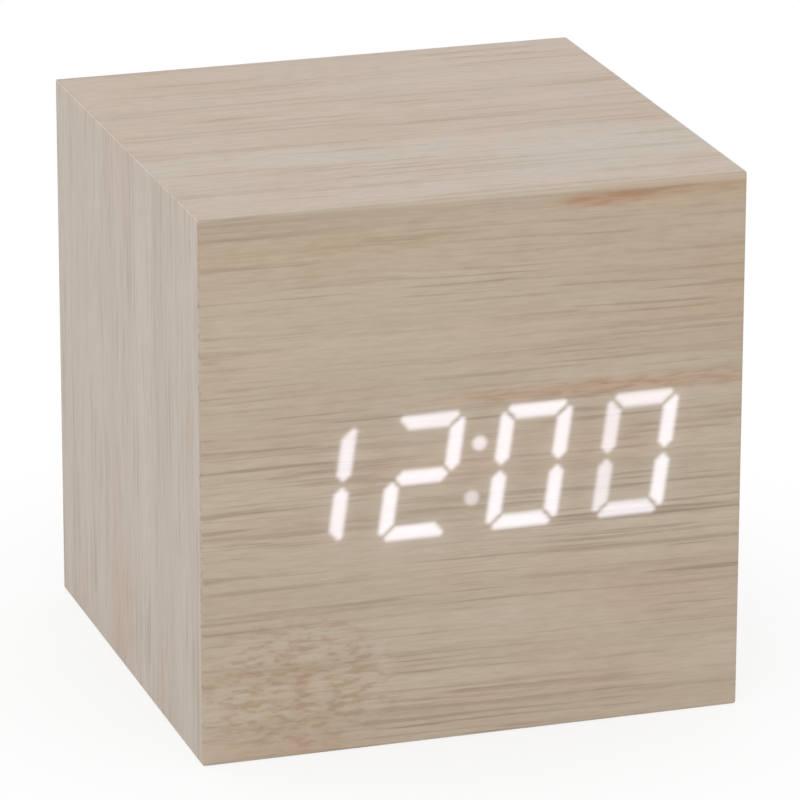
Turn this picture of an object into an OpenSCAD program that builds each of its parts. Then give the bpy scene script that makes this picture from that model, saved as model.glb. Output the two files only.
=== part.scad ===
// Cube-shaped wooden desk clock whose digital time display shines through the front veneer.
// Millimetres, +Z up. The origin is under the middle of the base and the front faces -Y.

/* [Case] */
// Width of the case, left to right
case_w = 62; // [55:0.5:90]
// Depth of the case, front to back
case_d = 59; // [50:0.5:90]
// Height of the case
case_h = 62; // [55:0.5:90]
// Thickness of the four mitred boards
board_t = 4; // [3:0.1:4.5]
// Thickness of the veneer sheet over the front
veneer_t = 0.6; // [0.5:0.05:1]
// Radius of the four long edges of the case
corner_r = 0.3; // [0.3:0.1:2]
// Radius of the front and back edges
arris_r = 0.4; // [0.2:0.05:0.5]
// Thickness of the board behind the veneer
front_board_t = 3; // [2:0.1:5]
// Height of the two battens that hold the back panel
batten_h = 4; // [3.8:0.1:5]
// Length of the battens, front to back
batten_l = 12; // [8:0.5:16]
// Gap at the ends of a glued-in board
glue_gap = 0.1; // [0.05:0.05:0.3]

/* [Display] */
// Height of a digit
digit_h = 14.2; // [10:0.1:15]
// Width of a digit over its strokes
digit_w = 8.3; // [6:0.1:9]
// Width of a segment's stroke
stroke_w = 1.7; // [1:0.1:2]
// Gap between neighbouring segments
segment_gap = 0.3; // [0.2:0.05:0.6]
// Cut across the outer corners of a digit
digit_cut = 1.1; // [0.7:0.05:1.4]
// Lean of the digits to the right, in degrees
digit_lean = 8; // [0:0.5:10]
// Space at each end of the row of digits
digit_margin = 2.55; // [2:0.05:4]
// Diameter of a colon dot
colon_d = 1.7; // [1:0.1:2]
// Height of a colon dot above and below the middle
colon_rise = 3.1; // [2:0.1:5]
// Space between the display housing and the side boards
display_margin = 1.85; // [1.5:0.05:4]
// Height of the display housing
display_h = 19; // [17:0.1:24]
// Depth of the display housing
display_t = 8; // [7:0.1:10]
// Wall round the display's own circuit board
display_wall = 1; // [0.6:0.1:1.5]
// Depth of the clear resin in a segment
lens_t = 4.5; // [3:0.1:4.8]
// Gap round a resin segment in its cell
cast_gap = 0.03; // [0.02:0.01:0.1]
// Gap round the display in its window
window_gap = 0.15; // [0.1:0.05:0.4]
// Width of a light-emitting chip
chip_w = 1; // [0.5:0.1:1.2]
// Height of a light-emitting chip
chip_t = 0.5; // [0.3:0.1:0.8]
// Diameter of a display pin
pin_d = 0.5; // [0.4:0.05:0.7]
// Distance between neighbouring display pins
pin_pitch = 2.54; // [2:0.01:3]
// Distance between the two rows of pins
pin_rows = 15.24; // [12:0.01:16]
// Pins in a row
pin_count = 6; // [4:1:8]
// Length of a pin beyond the main board
pin_tail = 1.4; // [0.8:0.1:2]

/* [Circuit boards] */
// Thickness of a circuit board
pcb_t = 1.6; // [1:0.1:2]
// Space between the main board and the side boards
main_board_margin = 2.5; // [1:0.1:4]
// Height of the main board
main_board_h = 37; // [35:0.5:46]
// Distance of a screw from the edge of the main board
screw_inset = 3; // [2.5:0.1:5]
// Diameter of a circuit board screw
board_screw_d = 1.9; // [1.5:0.1:2.2]
// Diameter of a spacer under the main board
spacer_d = 4.4; // [3.6:0.1:5]
// Space over and under the key board
key_board_gap = 0.4; // [0.2:0.1:1]
// Space between the key board and the side boards
key_board_margin = 2; // [1:0.1:4]
// Height of the key board
key_board_h = 8.7; // [8.2:0.1:12]
// Width of the ribbon cable
ribbon_w = 10; // [6:0.5:14]
// Thickness of the ribbon cable
ribbon_t = 0.9; // [0.6:0.1:1.2]
// Sag of the ribbon cable between the boards
ribbon_sag = 5; // [0:0.5:8]
// Height of a ribbon header
header_h = 3; // [2:0.1:4]
// Diameter of a battery lead
lead_d = 1.2; // [0.8:0.1:1.6]

/* [Back panel] */
// Thickness of the back panel
panel_t = 1.8; // [1.7:0.1:2.4]
// Depth of the panel behind the ends of the boards
panel_recess = 0.8; // [0.7:0.1:3]
// Gap between the panel and the boards
panel_gap = 0.2; // [0.1:0.05:0.5]
// Radius of the panel's corners
panel_r = 1; // [0.5:0.1:3]
// Wall of the battery tray
tray_wall = 1.3; // [1.1:0.1:1.6]
// Width of the ledge that the battery door lies on
ledge_w = 0.6; // [0.4:0.1:0.8]
// Gap between the tray and the batten below it
tray_gap = 0.3; // [0.2:0.1:0.6]
// Gap between the tray and the side boards
tray_side_gap = 1; // [0.5:0.1:3]
// Diameter of a panel screw
panel_screw_d = 1.8; // [1.4:0.1:2]
// Diameter of a panel screw's head
panel_head_d = 3.4; // [3:0.1:3.6]
// Distance of a panel screw from the case boards, sideways
panel_screw_inset = 4.5; // [3:0.1:8]
// Diameter of the hole in front of the microphone
sound_hole_d = 1.2; // [0.8:0.1:2]

/* [Batteries] */
// Room round a cell in the tray
cell_clear = 0.35; // [0.2:0.05:0.4]
// Diameter of a cell's terminal
terminal_d = 3.8; // [3:0.1:4.5]
// Height of a cell's terminal
terminal_h = 0.8; // [0.5:0.1:1.2]
// Thickness of a contact plate
plate_t = 0.4; // [0.3:0.05:0.5]
// Width of a contact plate
plate_w = 8; // [6:0.1:9]
// Gap between a contact plate and the door
plate_drop = 1.7; // [0.7:0.1:3]
// Height of the bump that meets a terminal
bump_h = 0.5; // [0.3:0.05:0.6]
// Length of a contact spring
spring_l = 3.6; // [3.4:0.1:3.9]
// Wire of a contact spring
wire_d = 0.6; // [0.4:0.05:0.7]
// Radius of a contact spring at its plate
spring_base_r = 3.5; // [3:0.1:4]
// Radius of a contact spring at its cell
spring_tip_r = 1.8; // [1.2:0.1:2.2]
// Turns of a contact spring
spring_turns = 2.25; // [1.5:0.25:2.5]

/* [Battery door] */
// Thickness of the battery door
door_t = 1.6; // [1.4:0.1:1.7]
// Gap round the battery door
door_gap = 0.25; // [0.2:0.05:0.4]
// Gap under the battery door
seat_gap = 0.1; // [0.05:0.05:0.1]
// Width of a toe at the foot of the door
toe_w = 8; // [5:0.5:12]
// Distance between the two toes
toe_pitch = 28; // [20:0.5:32]
// Thickness of a toe
toe_t = 1; // [0.8:0.1:1.2]
// Reach of a toe behind the panel
toe_reach = 0.6; // [0.4:0.1:0.7]
// Gap round a toe
toe_gap = 0.2; // [0.15:0.05:0.3]
// Width of the door's catch
catch_w = 10; // [6:0.5:14]
// Thickness of the door's catch
catch_t = 0.9; // [0.6:0.1:1]
// Reach of the catch behind the panel
catch_reach = 0.5; // [0.3:0.1:0.6]
// Gap round the catch
catch_gap = 0.25; // [0.2:0.05:0.4]
// Width of the hollow for a fingernail over the door
nail_w = 12; // [8:0.5:16]
// Radius of the hollow for a fingernail
nail_r = 2.5; // [2:0.1:2.6]
// Depth of the hollow for a fingernail
nail_deep = 0.8; // [0.4:0.1:0.9]
// Ridges on the door
ridge_count = 3; // [2:1:5]
// Length of a ridge
ridge_l = 14; // [8:0.5:20]
// Radius of a ridge
ridge_r = 0.35; // [0.2:0.05:0.5]
// Distance between ridges
ridge_pitch = 1.5; // [1.2:0.1:2.5]

/* [Buttons] */
// Diameter of a button
button_d = 5; // [4:0.1:5.4]
// Gap round a button
button_gap = 0.15; // [0.1:0.05:0.3]
// Height of a button over the panel
button_proud = 0.6; // [0.3:0.1:0.7]
// Width of the lip that holds a button in
button_lip = 0.7; // [0.4:0.1:0.8]
// Thickness of the lip that holds a button in
button_lip_t = 1; // [0.6:0.1:1.4]
// Gap between a button's lip and the panel
button_slack = 0.1; // [0.05:0.05:0.3]
// Travel of a button
press_travel = 0.4; // [0.2:0.05:0.5]
// Side of a key switch
switch_w = 6; // [5:0.1:6.2]
// Height of a key switch's body
switch_h = 3.5; // [2.8:0.1:4.5]
// Diameter of a key switch's plunger
plunger_d = 3.4; // [2.5:0.1:3.8]
// Plunger above the switch's body
plunger_out = 0.9; // [0.8:0.1:1.5]
// Plunger inside the switch's body
plunger_in = 0.8; // [0.5:0.1:1]
// Gap round a plunger
plunger_gap = 0.15; // [0.1:0.05:0.3]

/* [Power socket] */
// Width of the socket's shell
socket_w = 7.5; // [7:0.1:8]
// Height of the socket's shell
socket_h = 2.6; // [2.4:0.1:3.2]
// Bevel of the shell's lower corners
socket_bevel = 0.8; // [0.5:0.1:1]
// Wall of the socket's shell
socket_wall = 0.3; // [0.2:0.05:0.4]
// Distance of the socket's middle from the side board
socket_side = 6.3; // [5:0.1:8]
// Depth of the socket's mouth behind the panel's face
socket_inset = 0.4; // [0.2:0.1:1]
// Gap round the socket in the panel
socket_gap = 0.3; // [0.2:0.05:0.6]

/* [Hidden] */
$fn = 64;
cut = 1;

// Places along the depth, from the front to the back
front_y = -case_d / 2;
back_y = case_d / 2;
veneer_y = front_y + veneer_t;
front_board_y = veneer_y + front_board_t;
display_y = veneer_y + display_t;
main_y = display_y + pcb_t;
panel_out_y = back_y - panel_recess;
panel_in_y = panel_out_y - panel_t;
door_in_y = panel_out_y - door_t;
rim_y = door_in_y - seat_gap;
lip_y = panel_in_y - button_slack - button_lip_t;
switch_y = lip_y - plunger_out;
key_y = switch_y - switch_h;
key_front_y = key_y - pcb_t;

// Room inside the boards, and what spans it
inner_w = case_w - 2 * board_t;
inner_h = case_h - 2 * board_t;
mid_z = case_h / 2;
batten_top_z = case_h - board_t - batten_h;
display_w = inner_w - 2 * display_margin;
main_board_w = inner_w - 2 * main_board_margin;
key_board_w = inner_w - 2 * key_board_margin;

// Key board under the upper batten
key_high_z = batten_top_z - key_board_gap;
key_low_z = key_high_z - key_board_h;
key_z = (key_low_z + key_high_z) / 2;

// Battery tray in the room that is left, and the cells that fill it
cell_count = 3;
tray_z = board_t + batten_h + tray_gap;
tray_top_z = key_low_z - key_board_gap;
bay_low_z = tray_z + tray_wall;
bay_high_z = tray_top_z - tray_wall;
bay_l = inner_w - 2 * (tray_side_gap + tray_wall);
cell_pitch = (bay_high_z - bay_low_z) / cell_count;
cell_d = cell_pitch - 2 * cell_clear;
cell_l = bay_l - 2 * plate_t - bump_h - spring_l;
cell_y = door_in_y - cell_clear - cell_d / 2;
floor_y = cell_y - cell_d / 2 - cell_clear;
floor_out_y = floor_y - tray_wall;

// The tray's opening and the door's hinge line
open_low_z = bay_low_z - ledge_w;
open_high_z = bay_high_z + ledge_w;
open_w = bay_l + 2 * ledge_w;
door_w = open_w - 2 * door_gap;
door_high_z = open_high_z - door_gap;
hinge_y = panel_out_y - door_t / 2;
hinge_z = open_low_z + door_gap + door_t / 2;
door_corner_r = 1;

// Toes under the panel, and the room that they sweep
toe_out_y = panel_in_y - toe_gap;
toe_in_y = toe_out_y - toe_t;
toe_low_z = open_low_z - toe_reach;
toe_high_z = bay_low_z + toe_gap;
toe_sweep = norm([hinge_y - toe_in_y, hinge_z - toe_low_z]);

// Catch at the head of the door
catch_top_z = door_high_z - catch_gap / 2;
catch_face_y = panel_in_y - catch_gap;
catch_nose = 1.6;
catch_in_y = catch_face_y - catch_nose;

// Contact plates
tail_w = 2.2;
tail_l = 1.5;
tail_gap = 0.2;
bump_d = 3;
touch_gap = 0.05;
plate_h = door_in_y - floor_y - plate_drop;
cradle_t = 1.2;
cradle_h = 2.6;
cradle_gap = 0.2;

// Socket, bosses and buttons in a row, from the side board to the middle
boss_d = 3;
boss_gap = 0.3;
boss_wall = 0.15;
socket_x = inner_w / 2 - socket_side;
boss_x = socket_x - socket_w / 2 - socket_gap - boss_wall - boss_d / 2;
button_pitch = boss_x - boss_d / 2 - boss_gap - max(switch_w / 2, button_d / 2 + button_lip);
dish_margin = 0.7;
dish_deep = 0.4;
mark_h = 1.8;
mark_t = 0.15;
mark_line = 0.4;
mark_root = 0.3;
mark_z = key_z + button_d / 2 + button_gap + dish_margin + mark_h / 2 + mark_line;
sign_w = 3.2;
sign_z = key_z - socket_h / 2 - socket_gap - 2 * mark_line - mark_h / 2;
edge_chamfer = 0.35;
hollow_r = 8;
hollow_deep = 0.2;
plunger_floor = 0.2;
tongue_root = 2.4;
tongue_w = 4;
tongue_t = 0.6;
foot_l = 0.9;
foot_w = 0.7;
foot_t = 0.3;
mic_d = 4;
mic_h = 2;

// Fasteners
screw_gap = 0.15;
pilot_gap = 0.05;
pan_h = 1.3;
pan_ratio = 1.8;
slot_w = 0.5;
slot_deep = 0.6;
slot_share = 0.6;
key_screw_l = 4;
front_grip = 0.5;
panel_screw_l = 9;
panel_head_h = (panel_head_d - panel_screw_d) / 2;

// Parts on the main board
pcb_r = 1;
controller_l = 17.9;
controller_w = 7.5;
controller_t = 2.3;
controller_stand = 0.2;
leg_count = 14;
leg_pitch = 1.27;
leg_w = 0.42;
leg_reach = 1.4;
leg_t = 0.3;
crystal_l = 10.6;
crystal_w = 4.4;
crystal_h = 3.4;
buzzer_d = 9;
buzzer_h = 5.5;
buzzer_hole_d = 1.6;
sensor_d = 2.4;
sensor_leg_d = 0.5;
side_inset = 7.5;
side_x = main_board_w / 2 - side_inset;
sensor_inset = 6.5;
sensor_drop = main_board_h / 2 - sensor_inset;
header_w = 2.6;
header_margin = 1;
header_inset = 5.5;
header_rise = main_board_h / 2 - header_inset;
ribbon_steps = 24;

// Routes of the battery leads between straight ends at the contact's tail and at the key board.
// Each point is its distance in from the tail, its distance out from the tray and its share of the rise.
lead_sides = 8;
lead_straight = 1.6;
lead_inset = 3;
lead_x = key_board_w / 2 - lead_inset;
plus_route = [
    [0.5, 4.6, 0.05], [1, 5.1, 0.2], [1.5, 4.6, 0.43], [2, 4.1, 0.67],
    [2.5, 3.6, 0.85], [2.5, 1.6, 0.93], [2.5, -1.4, 0.99]
];
minus_route = [
    [0.5, 4.4, 0.12], [1, 4.6, 0.38], [1.5, 3.6, 0.68], [2, 1.1, 0.89], [2.5, -1.4, 0.98]
];

wood = "#b8a793";
fibreboard = "#a58a66";
black_plastic = "#202022";
white_plastic = "#ecebe6";
circuit_green = "#2f6b45";
nickel = "#c9c8c2";

// Outlines and directions

// A flat outline in X and Z, given a depth towards the back
module slab(y, depth) {
    translate([0, y + depth, 0]) rotate([90, 0, 0]) linear_extrude(depth) children();
}

// A side outline in Y and Z, run along X about the middle
module run(length) {
    translate([-length / 2, 0, 0]) rotate([90, 0, 90]) linear_extrude(length) children();
}

// A turned shape whose axis points to the back
module face_back(x, y, z) {
    translate([x, y, z]) rotate([-90, 0, 0]) children();
}

module rounded_rectangle(w, h, r) {
    square([w - 2 * r, h], center = true);
    square([w, h - 2 * r], center = true);
    for (sx = [-1, 1], sy = [-1, 1])
        translate([sx * (w / 2 - r), sy * (h / 2 - r)]) circle(r);
}

module oval(w, h) {
    square([w - h, h], center = true);
    for (side = [-1, 1]) translate([side * (w - h) / 2, 0]) circle(d = h);
}

// The whole case as one block with all its edges eased
module case_envelope() {
    translate([0, 0, mid_z]) intersection() {
        rotate([90, 0, 0]) linear_extrude(case_d, center = true)
            rounded_rectangle(case_w, case_h, corner_r);
        linear_extrude(case_h, center = true) rounded_rectangle(case_w, case_d, arris_r);
        rotate([0, 90, 0]) linear_extrude(case_w, center = true)
            rounded_rectangle(case_h, case_d, arris_r);
    }
}

// A tube swept along a path, with a side direction given at each point
function unit(v) = v / norm(v);
function step(path, i) = unit(path[i + 1] - path[i]);
function heading(path, i) =
    i == 0 ? step(path, 0) :
    i == len(path) - 1 ? step(path, i - 1) :
    unit(step(path, i - 1) + step(path, i));
function ring(path, i, side, r, sides) =
    let (ahead = heading(path, i))
    let (u = unit(side - (side * ahead) * ahead))
    let (v = cross(ahead, u))
    [for (k = [0 : sides - 1]) path[i] + r * (cos(360 * k / sides) * u + sin(360 * k / sides) * v)];

module tube(path, side_list, r, sides) {
    count = len(path);
    last = (count - 1) * sides;
    points = [for (i = [0 : count - 1]) each ring(path, i, side_list[i], r, sides)];
    walls = [for (i = [0 : count - 2], k = [0 : sides - 1])
        let (a = i * sides + k, b = i * sides + (k + 1) % sides)
        each [[a, a + sides, b], [b, a + sides, b + sides]]];
    first_cap = [for (k = [1 : sides - 2]) [0, k, k + 1]];
    last_cap = [for (k = [1 : sides - 2]) [last, last + k + 1, last + k]];
    polyhedron(points, concat(walls, first_cap, last_cap));
}

// Case

// One board of the mitred frame, turned about the middle of the case
module mitred_board(turn) {
    upright = abs(turn) == 90;
    half_w = (upright ? case_h : case_w) / 2;
    half_h = (upright ? case_w : case_h) / 2;
    color(wood) intersection() {
        case_envelope();
        translate([0, 0, mid_z]) rotate([0, turn, 0]) slab(veneer_y, back_y - veneer_y)
            polygon([
                [-half_w, half_h], [half_w, half_h],
                [half_w - board_t, half_h - board_t], [-half_w + board_t, half_h - board_t]
            ]);
    }
}

module front_veneer() {
    color(wood) intersection() {
        case_envelope();
        slab(front_y, veneer_t) translate([0, mid_z]) square([case_w, case_h], center = true);
    }
}

module front_board() {
    color(fibreboard) difference() {
        slab(veneer_y, front_board_t) translate([0, mid_z])
            square([inner_w - 2 * glue_gap, inner_h - 2 * glue_gap], center = true);
        slab(veneer_y - cut, front_board_t + 2 * cut) translate([0, mid_z])
            square([display_w + 2 * window_gap, display_h + 2 * window_gap], center = true);
        at_board_screws(front_board_y - front_board_t + front_grip)
            cylinder(d = board_screw_d + 2 * pilot_gap, h = front_board_t);
    }
}

module batten(z) {
    color(fibreboard) difference() {
        translate([-inner_w / 2 + glue_gap, panel_in_y - batten_l, z])
            cube([inner_w - 2 * glue_gap, batten_l, batten_h]);
        at_panel_screws() mirror([0, 0, 1])
            translate([0, 0, -cut]) cylinder(d = panel_screw_d + 2 * pilot_gap, h = batten_l);
    }
}

// Display

half_digit_w = digit_w / 2;
half_digit_h = digit_h / 2;
mitre = segment_gap / sqrt(2);

// Where the cut across a corner meets the mitre, from the edges of the digit
cut_far = (digit_cut + mitre) / 2;
cut_near = (digit_cut - mitre) / 2;

top_segment = [
    [-half_digit_w + digit_cut, half_digit_h], [half_digit_w - digit_cut, half_digit_h],
    [half_digit_w - cut_far, half_digit_h - cut_near],
    [half_digit_w - stroke_w - mitre, half_digit_h - stroke_w],
    [-half_digit_w + stroke_w + mitre, half_digit_h - stroke_w],
    [-half_digit_w + cut_far, half_digit_h - cut_near]
];
side_segment = [
    [-half_digit_w, half_digit_h - digit_cut],
    [-half_digit_w + cut_near, half_digit_h - cut_far],
    [-half_digit_w + stroke_w, half_digit_h - stroke_w - mitre],
    [-half_digit_w + stroke_w, stroke_w / 2 + mitre],
    [-half_digit_w + stroke_w / 2, mitre],
    [-half_digit_w, stroke_w / 2 + mitre]
];
middle_half = half_digit_w - stroke_w - mitre;
middle_segment = [
    [-middle_half - stroke_w / 2, 0], [-middle_half, stroke_w / 2], [middle_half, stroke_w / 2],
    [middle_half + stroke_w / 2, 0], [middle_half, -stroke_w / 2], [-middle_half, -stroke_w / 2]
];

function mean(list) = list * [for (v = list) 1] / len(list);
function middle_of(outline) = [mean([for (p = outline) p[0]]), mean([for (p = outline) p[1]])];
function flipped(outline, sx, sz) = [for (p = outline) [sx * p[0], sz * p[1]]];
function leaned(outline) = [for (p = outline) [p[0] + p[1] * tan(digit_lean), p[1]]];
digit_outlines = [
    top_segment, flipped(top_segment, 1, -1), middle_segment,
    side_segment, flipped(side_segment, -1, 1),
    flipped(side_segment, 1, -1), flipped(side_segment, -1, -1)
];
digit_count = 4;
digit_pitch = (display_w - digit_w - 2 * digit_margin) / (digit_count - 1);
digit_places = [for (i = [0 : digit_count - 1]) (i - (digit_count - 1) / 2) * digit_pitch];

// Every segment and dot of the display, each moved by its own gap inwards
module segments(y, depth, inset) {
    for (x = digit_places, outline = digit_outlines)
        slab(y, depth) translate([x, mid_z]) shrunk(leaned(outline), inset);
    for (side = [-1, 1])
        face_back(side * colon_rise * tan(digit_lean), y, mid_z + side * colon_rise)
            cylinder(d = colon_d - 2 * inset, h = depth);
}

// An outline drawn in towards its middle by about the given distance
module shrunk(outline, inset) {
    polygon([for (p = outline) p - inset * unit(p - middle_of(outline))]);
}

module display_housing() {
    color(white_plastic) difference() {
        slab(veneer_y, display_t) translate([0, mid_z]) square([display_w, display_h], center = true);
        slab(display_y - pcb_t, pcb_t + cut) translate([0, mid_z])
            square([display_w - 2 * display_wall, display_h - 2 * display_wall], center = true);
        segments(veneer_y - cut, display_t + cut, 0);
    }
}

module segment_lenses() {
    color("#f7f3e6") segments(veneer_y, lens_t, cast_gap);
}

module display_base() {
    color(circuit_green) slab(display_y - pcb_t, pcb_t) translate([0, mid_z])
        square([display_w - 2 * display_wall - 2 * cast_gap, display_h - 2 * display_wall - 2 * cast_gap],
            center = true);
}

module light_chips() {
    centres = concat(
        [for (x = digit_places, outline = digit_outlines) [x, 0] + middle_of(leaned(outline))],
        [for (side = [-1, 1]) side * colon_rise * [tan(digit_lean), 1]]
    );
    color("#f1d77a") for (c = centres)
        slab(display_y - pcb_t - chip_t, chip_t) translate([c[0], mid_z + c[1]])
            square([chip_w, chip_w / 2], center = true);
}

module at_pins(y) {
    for (i = [0 : pin_count - 1], side = [-1, 1])
        face_back((i - (pin_count - 1) / 2) * pin_pitch, y, mid_z + side * pin_rows / 2) children();
}

module display_pins() {
    color(nickel) at_pins(display_y) cylinder(d = pin_d, h = pcb_t + pin_tail);
}

// Main board

module at_board_screws(y) {
    for (sx = [-1, 1], sz = [-1, 1])
        face_back(sx * (main_board_w / 2 - screw_inset), y, mid_z + sz * (main_board_h / 2 - screw_inset))
            children();
}

// A screw with a round head, pointing away from its head along -Z
module pan_screw(d, length) {
    head_r = d * pan_ratio / 2;
    difference() {
        union() {
            translate([0, 0, -length]) cylinder(d = d, h = length);
            intersection() {
                cylinder(r = head_r, h = pan_h);
                translate([0, 0, pan_h - 2 * head_r]) sphere(2 * head_r);
            }
        }
        cross_recess(pan_h, head_r);
    }
}

module cross_recess(top, size) {
    for (turn = [0, 90]) rotate(turn)
        translate([-size * slot_share, -slot_w / 2, top - slot_deep])
            cube([2 * size * slot_share, slot_w, slot_deep + cut]);
}

module main_board() {
    color(circuit_green) difference() {
        slab(display_y, pcb_t) translate([0, mid_z]) rounded_rectangle(main_board_w, main_board_h, pcb_r);
        at_board_screws(display_y - cut) cylinder(d = board_screw_d + 2 * screw_gap, h = pcb_t + 2 * cut);
        at_pins(display_y - cut) cylinder(d = pin_d + 2 * screw_gap, h = pcb_t + 2 * cut);
    }
}

module board_spacers() {
    color(nickel) at_board_screws(front_board_y) difference() {
        cylinder(d = spacer_d, h = display_y - front_board_y);
        translate([0, 0, -cut])
            cylinder(d = board_screw_d + 2 * screw_gap, h = display_y - front_board_y + 2 * cut);
    }
}

module board_screws() {
    reach = main_y - front_board_y + front_board_t - 2 * front_grip;
    color("#8d8f92") at_board_screws(main_y) pan_screw(board_screw_d, reach);
}

module controller_chip() {
    leg_span = (leg_count - 1) * leg_pitch;
    color("#2a2a2c") {
        slab(main_y + controller_stand, controller_t) translate([0, mid_z])
            square([controller_l, controller_w], center = true);
        for (i = [0 : leg_count - 1], side = [-1, 1])
            translate([i * leg_pitch - leg_span / 2, main_y, mid_z + side * controller_w / 2])
                run(leg_w) mirror([0, side > 0 ? 0 : 1]) leg_outline();
    }
}

// Side outline of a leg: out of the body, down and flat on the board
module leg_outline() {
    out_y = controller_stand + controller_t / 2;
    bend = leg_reach / 2;
    polygon([
        [out_y, -leg_t], [out_y, bend], [leg_t, bend], [leg_t, leg_reach], [0, leg_reach],
        [0, bend - leg_t], [out_y - leg_t, bend - leg_t], [out_y - leg_t, -leg_t]
    ]);
}

module crystal() {
    color(nickel) slab(main_y, crystal_h) translate([side_x, mid_z]) rotate(90) oval(crystal_l, crystal_w);
}

module buzzer() {
    color(black_plastic) face_back(-side_x, main_y, mid_z) difference() {
        cylinder(d = buzzer_d, h = buzzer_h);
        translate([0, 0, buzzer_h / 2]) cylinder(d = buzzer_hole_d, h = buzzer_h);
    }
}

module temperature_sensor() {
    color("#3a3f45") {
        translate([-side_x, main_y + sensor_d, mid_z - sensor_drop]) sphere(d = sensor_d);
        for (side = [-1, 1])
            face_back(-side_x + side * sensor_d / 4, main_y, mid_z - sensor_drop)
                cylinder(d = sensor_leg_d, h = sensor_d);
    }
}

module ribbon_headers() {
    outline = [ribbon_w + 2 * header_margin, header_w];
    color(white_plastic) {
        slab(main_y, header_h) translate([0, mid_z + header_rise]) square(outline, center = true);
        slab(key_front_y - header_h, header_h) translate([0, key_z]) square(outline, center = true);
    }
}

// The ribbon leaves both headers square and sags between them
ribbon_start = [main_y + header_h, mid_z + header_rise];
ribbon_end = [key_front_y - header_h, key_z];
function eased(t) = t * t * (3 - 2 * t);
function sag(t) = ribbon_sag * pow(4 * t * (1 - t), 2);
function ribbon_point(t) = [
    ribbon_start[0] + (ribbon_end[0] - ribbon_start[0]) * t,
    ribbon_start[1] + (ribbon_end[1] - ribbon_start[1]) * eased(t) - sag(t)
];
function ribbon_ahead(t) =
    let (near = 1 / ribbon_steps / 4)
    t == 0 || t == 1 ? [1, 0] : unit(ribbon_point(t + near) - ribbon_point(t - near));
function ribbon_edge(t, side) =
    ribbon_point(t) + side * ribbon_t / 2 * [-ribbon_ahead(t)[1], ribbon_ahead(t)[0]];

module ribbon_cable() {
    shares = [for (i = [0 : ribbon_steps]) i / ribbon_steps];
    color("#9a9c9f") run(ribbon_w) polygon(concat(
        [for (t = shares) ribbon_edge(t, 1)],
        [for (i = [ribbon_steps : -1 : 0]) ribbon_edge(shares[i], -1)]
    ));
}

// Back panel

module at_panel_screws() {
    for (sx = [-1, 1], z = [board_t + batten_h / 2, batten_top_z + batten_h / 2])
        face_back(sx * (inner_w / 2 - panel_screw_inset), panel_in_y, z) children();
}

module at_key_screws(y) {
    for (side = [-1, 1]) face_back(side * boss_x, y, key_z) children();
}

module at_cells() {
    for (i = [0 : cell_count - 1]) translate([0, cell_y, cell_z(i)]) children();
}

function cell_z(i) = bay_low_z + (i + 0.5) * cell_pitch;
button_places = [button_pitch, 0, -button_pitch];
contact_x = bay_l / 2 - plate_t;

module socket_outline(inset) {
    half_w = socket_w / 2 - inset;
    half_h = socket_h / 2 - inset;
    bevel = socket_bevel - inset * (2 - sqrt(2));
    polygon([
        [-half_w, half_h], [half_w, half_h], [half_w, bevel - half_h],
        [half_w - bevel, -half_h], [bevel - half_w, -half_h], [-half_w, bevel - half_h]
    ]);
}

module panel_blank() {
    slab(panel_in_y, panel_t) translate([0, mid_z])
        rounded_rectangle(inner_w - 2 * panel_gap, inner_h - 2 * panel_gap, panel_r);
    slab(floor_out_y, panel_in_y - floor_out_y) translate([0, (tray_z + tray_top_z) / 2])
        square([bay_l + 2 * tray_wall, tray_top_z - tray_z], center = true);
    at_key_screws(key_y) cylinder(d = boss_d, h = panel_in_y - key_y);
}

// The door's rebate, the bay for the cells and the slots for toes, catch and contact tails
module bay_cuts() {
    slab(rim_y, panel_t + cut) translate([0, (open_low_z + open_high_z) / 2])
        square([open_w, open_high_z - open_low_z], center = true);
    slab(floor_y, panel_out_y - floor_y) translate([0, (bay_low_z + bay_high_z) / 2])
        square([bay_l, bay_high_z - bay_low_z], center = true);
    for (side = [-1, 1]) {
        translate([side * toe_pitch / 2 - toe_w / 2 - toe_gap, hinge_y - toe_sweep - toe_gap, tray_z - cut])
            cube([toe_w + 2 * toe_gap, panel_in_y - hinge_y + toe_sweep + toe_gap, tray_wall + 2 * cut]);
        tail_cell = side > 0 ? 0 : cell_count - 1;
        translate([side * (bay_l - plate_t) / 2, floor_y, cell_z(tail_cell)])
            cube([plate_t + 2 * tail_gap, 2 * tray_wall + cut, tail_w + 2 * tail_gap], center = true);
    }
    translate([-catch_w / 2 - catch_gap, catch_in_y - catch_gap, bay_high_z - cut]) {
        cube([catch_w + 2 * catch_gap, panel_in_y - catch_in_y + catch_gap, tray_wall + 2 * cut]);
        cube([catch_w + 2 * catch_gap, rim_y + cut - catch_in_y, ledge_w + cut]);
    }
}

// Bores for buttons, socket, sound and screws, and the hollow over the door
module panel_holes() {
    for (x = button_places) {
        bore_d = button_d + 2 * button_gap;
        face_back(x, panel_in_y - cut, key_z) cylinder(d = bore_d, h = panel_t + 2 * cut);
        face_back(x, panel_out_y - dish_deep, key_z)
            cylinder(d1 = bore_d, d2 = button_d + 2 * dish_margin, h = dish_deep);
    }
    slab(panel_in_y - cut, panel_t + 2 * cut) translate([-socket_x, key_z]) socket_outline(-socket_gap);
    face_back(socket_x, panel_in_y - cut, key_z) cylinder(d = sound_hole_d, h = panel_t + 2 * cut);
    at_panel_screws() {
        translate([0, 0, -cut]) cylinder(d = panel_screw_d + 2 * screw_gap, h = panel_t + 2 * cut);
        translate([0, 0, panel_t - panel_head_h])
            cylinder(d1 = panel_screw_d + 2 * pilot_gap, d2 = panel_head_d + 2 * pilot_gap,
                h = panel_head_h);
    }
    at_key_screws(key_y - cut) cylinder(d = board_screw_d + 2 * pilot_gap, h = key_screw_l + cut);
    run(nail_w) translate([panel_out_y + nail_r - nail_deep, open_high_z]) circle(nail_r);
}

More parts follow.
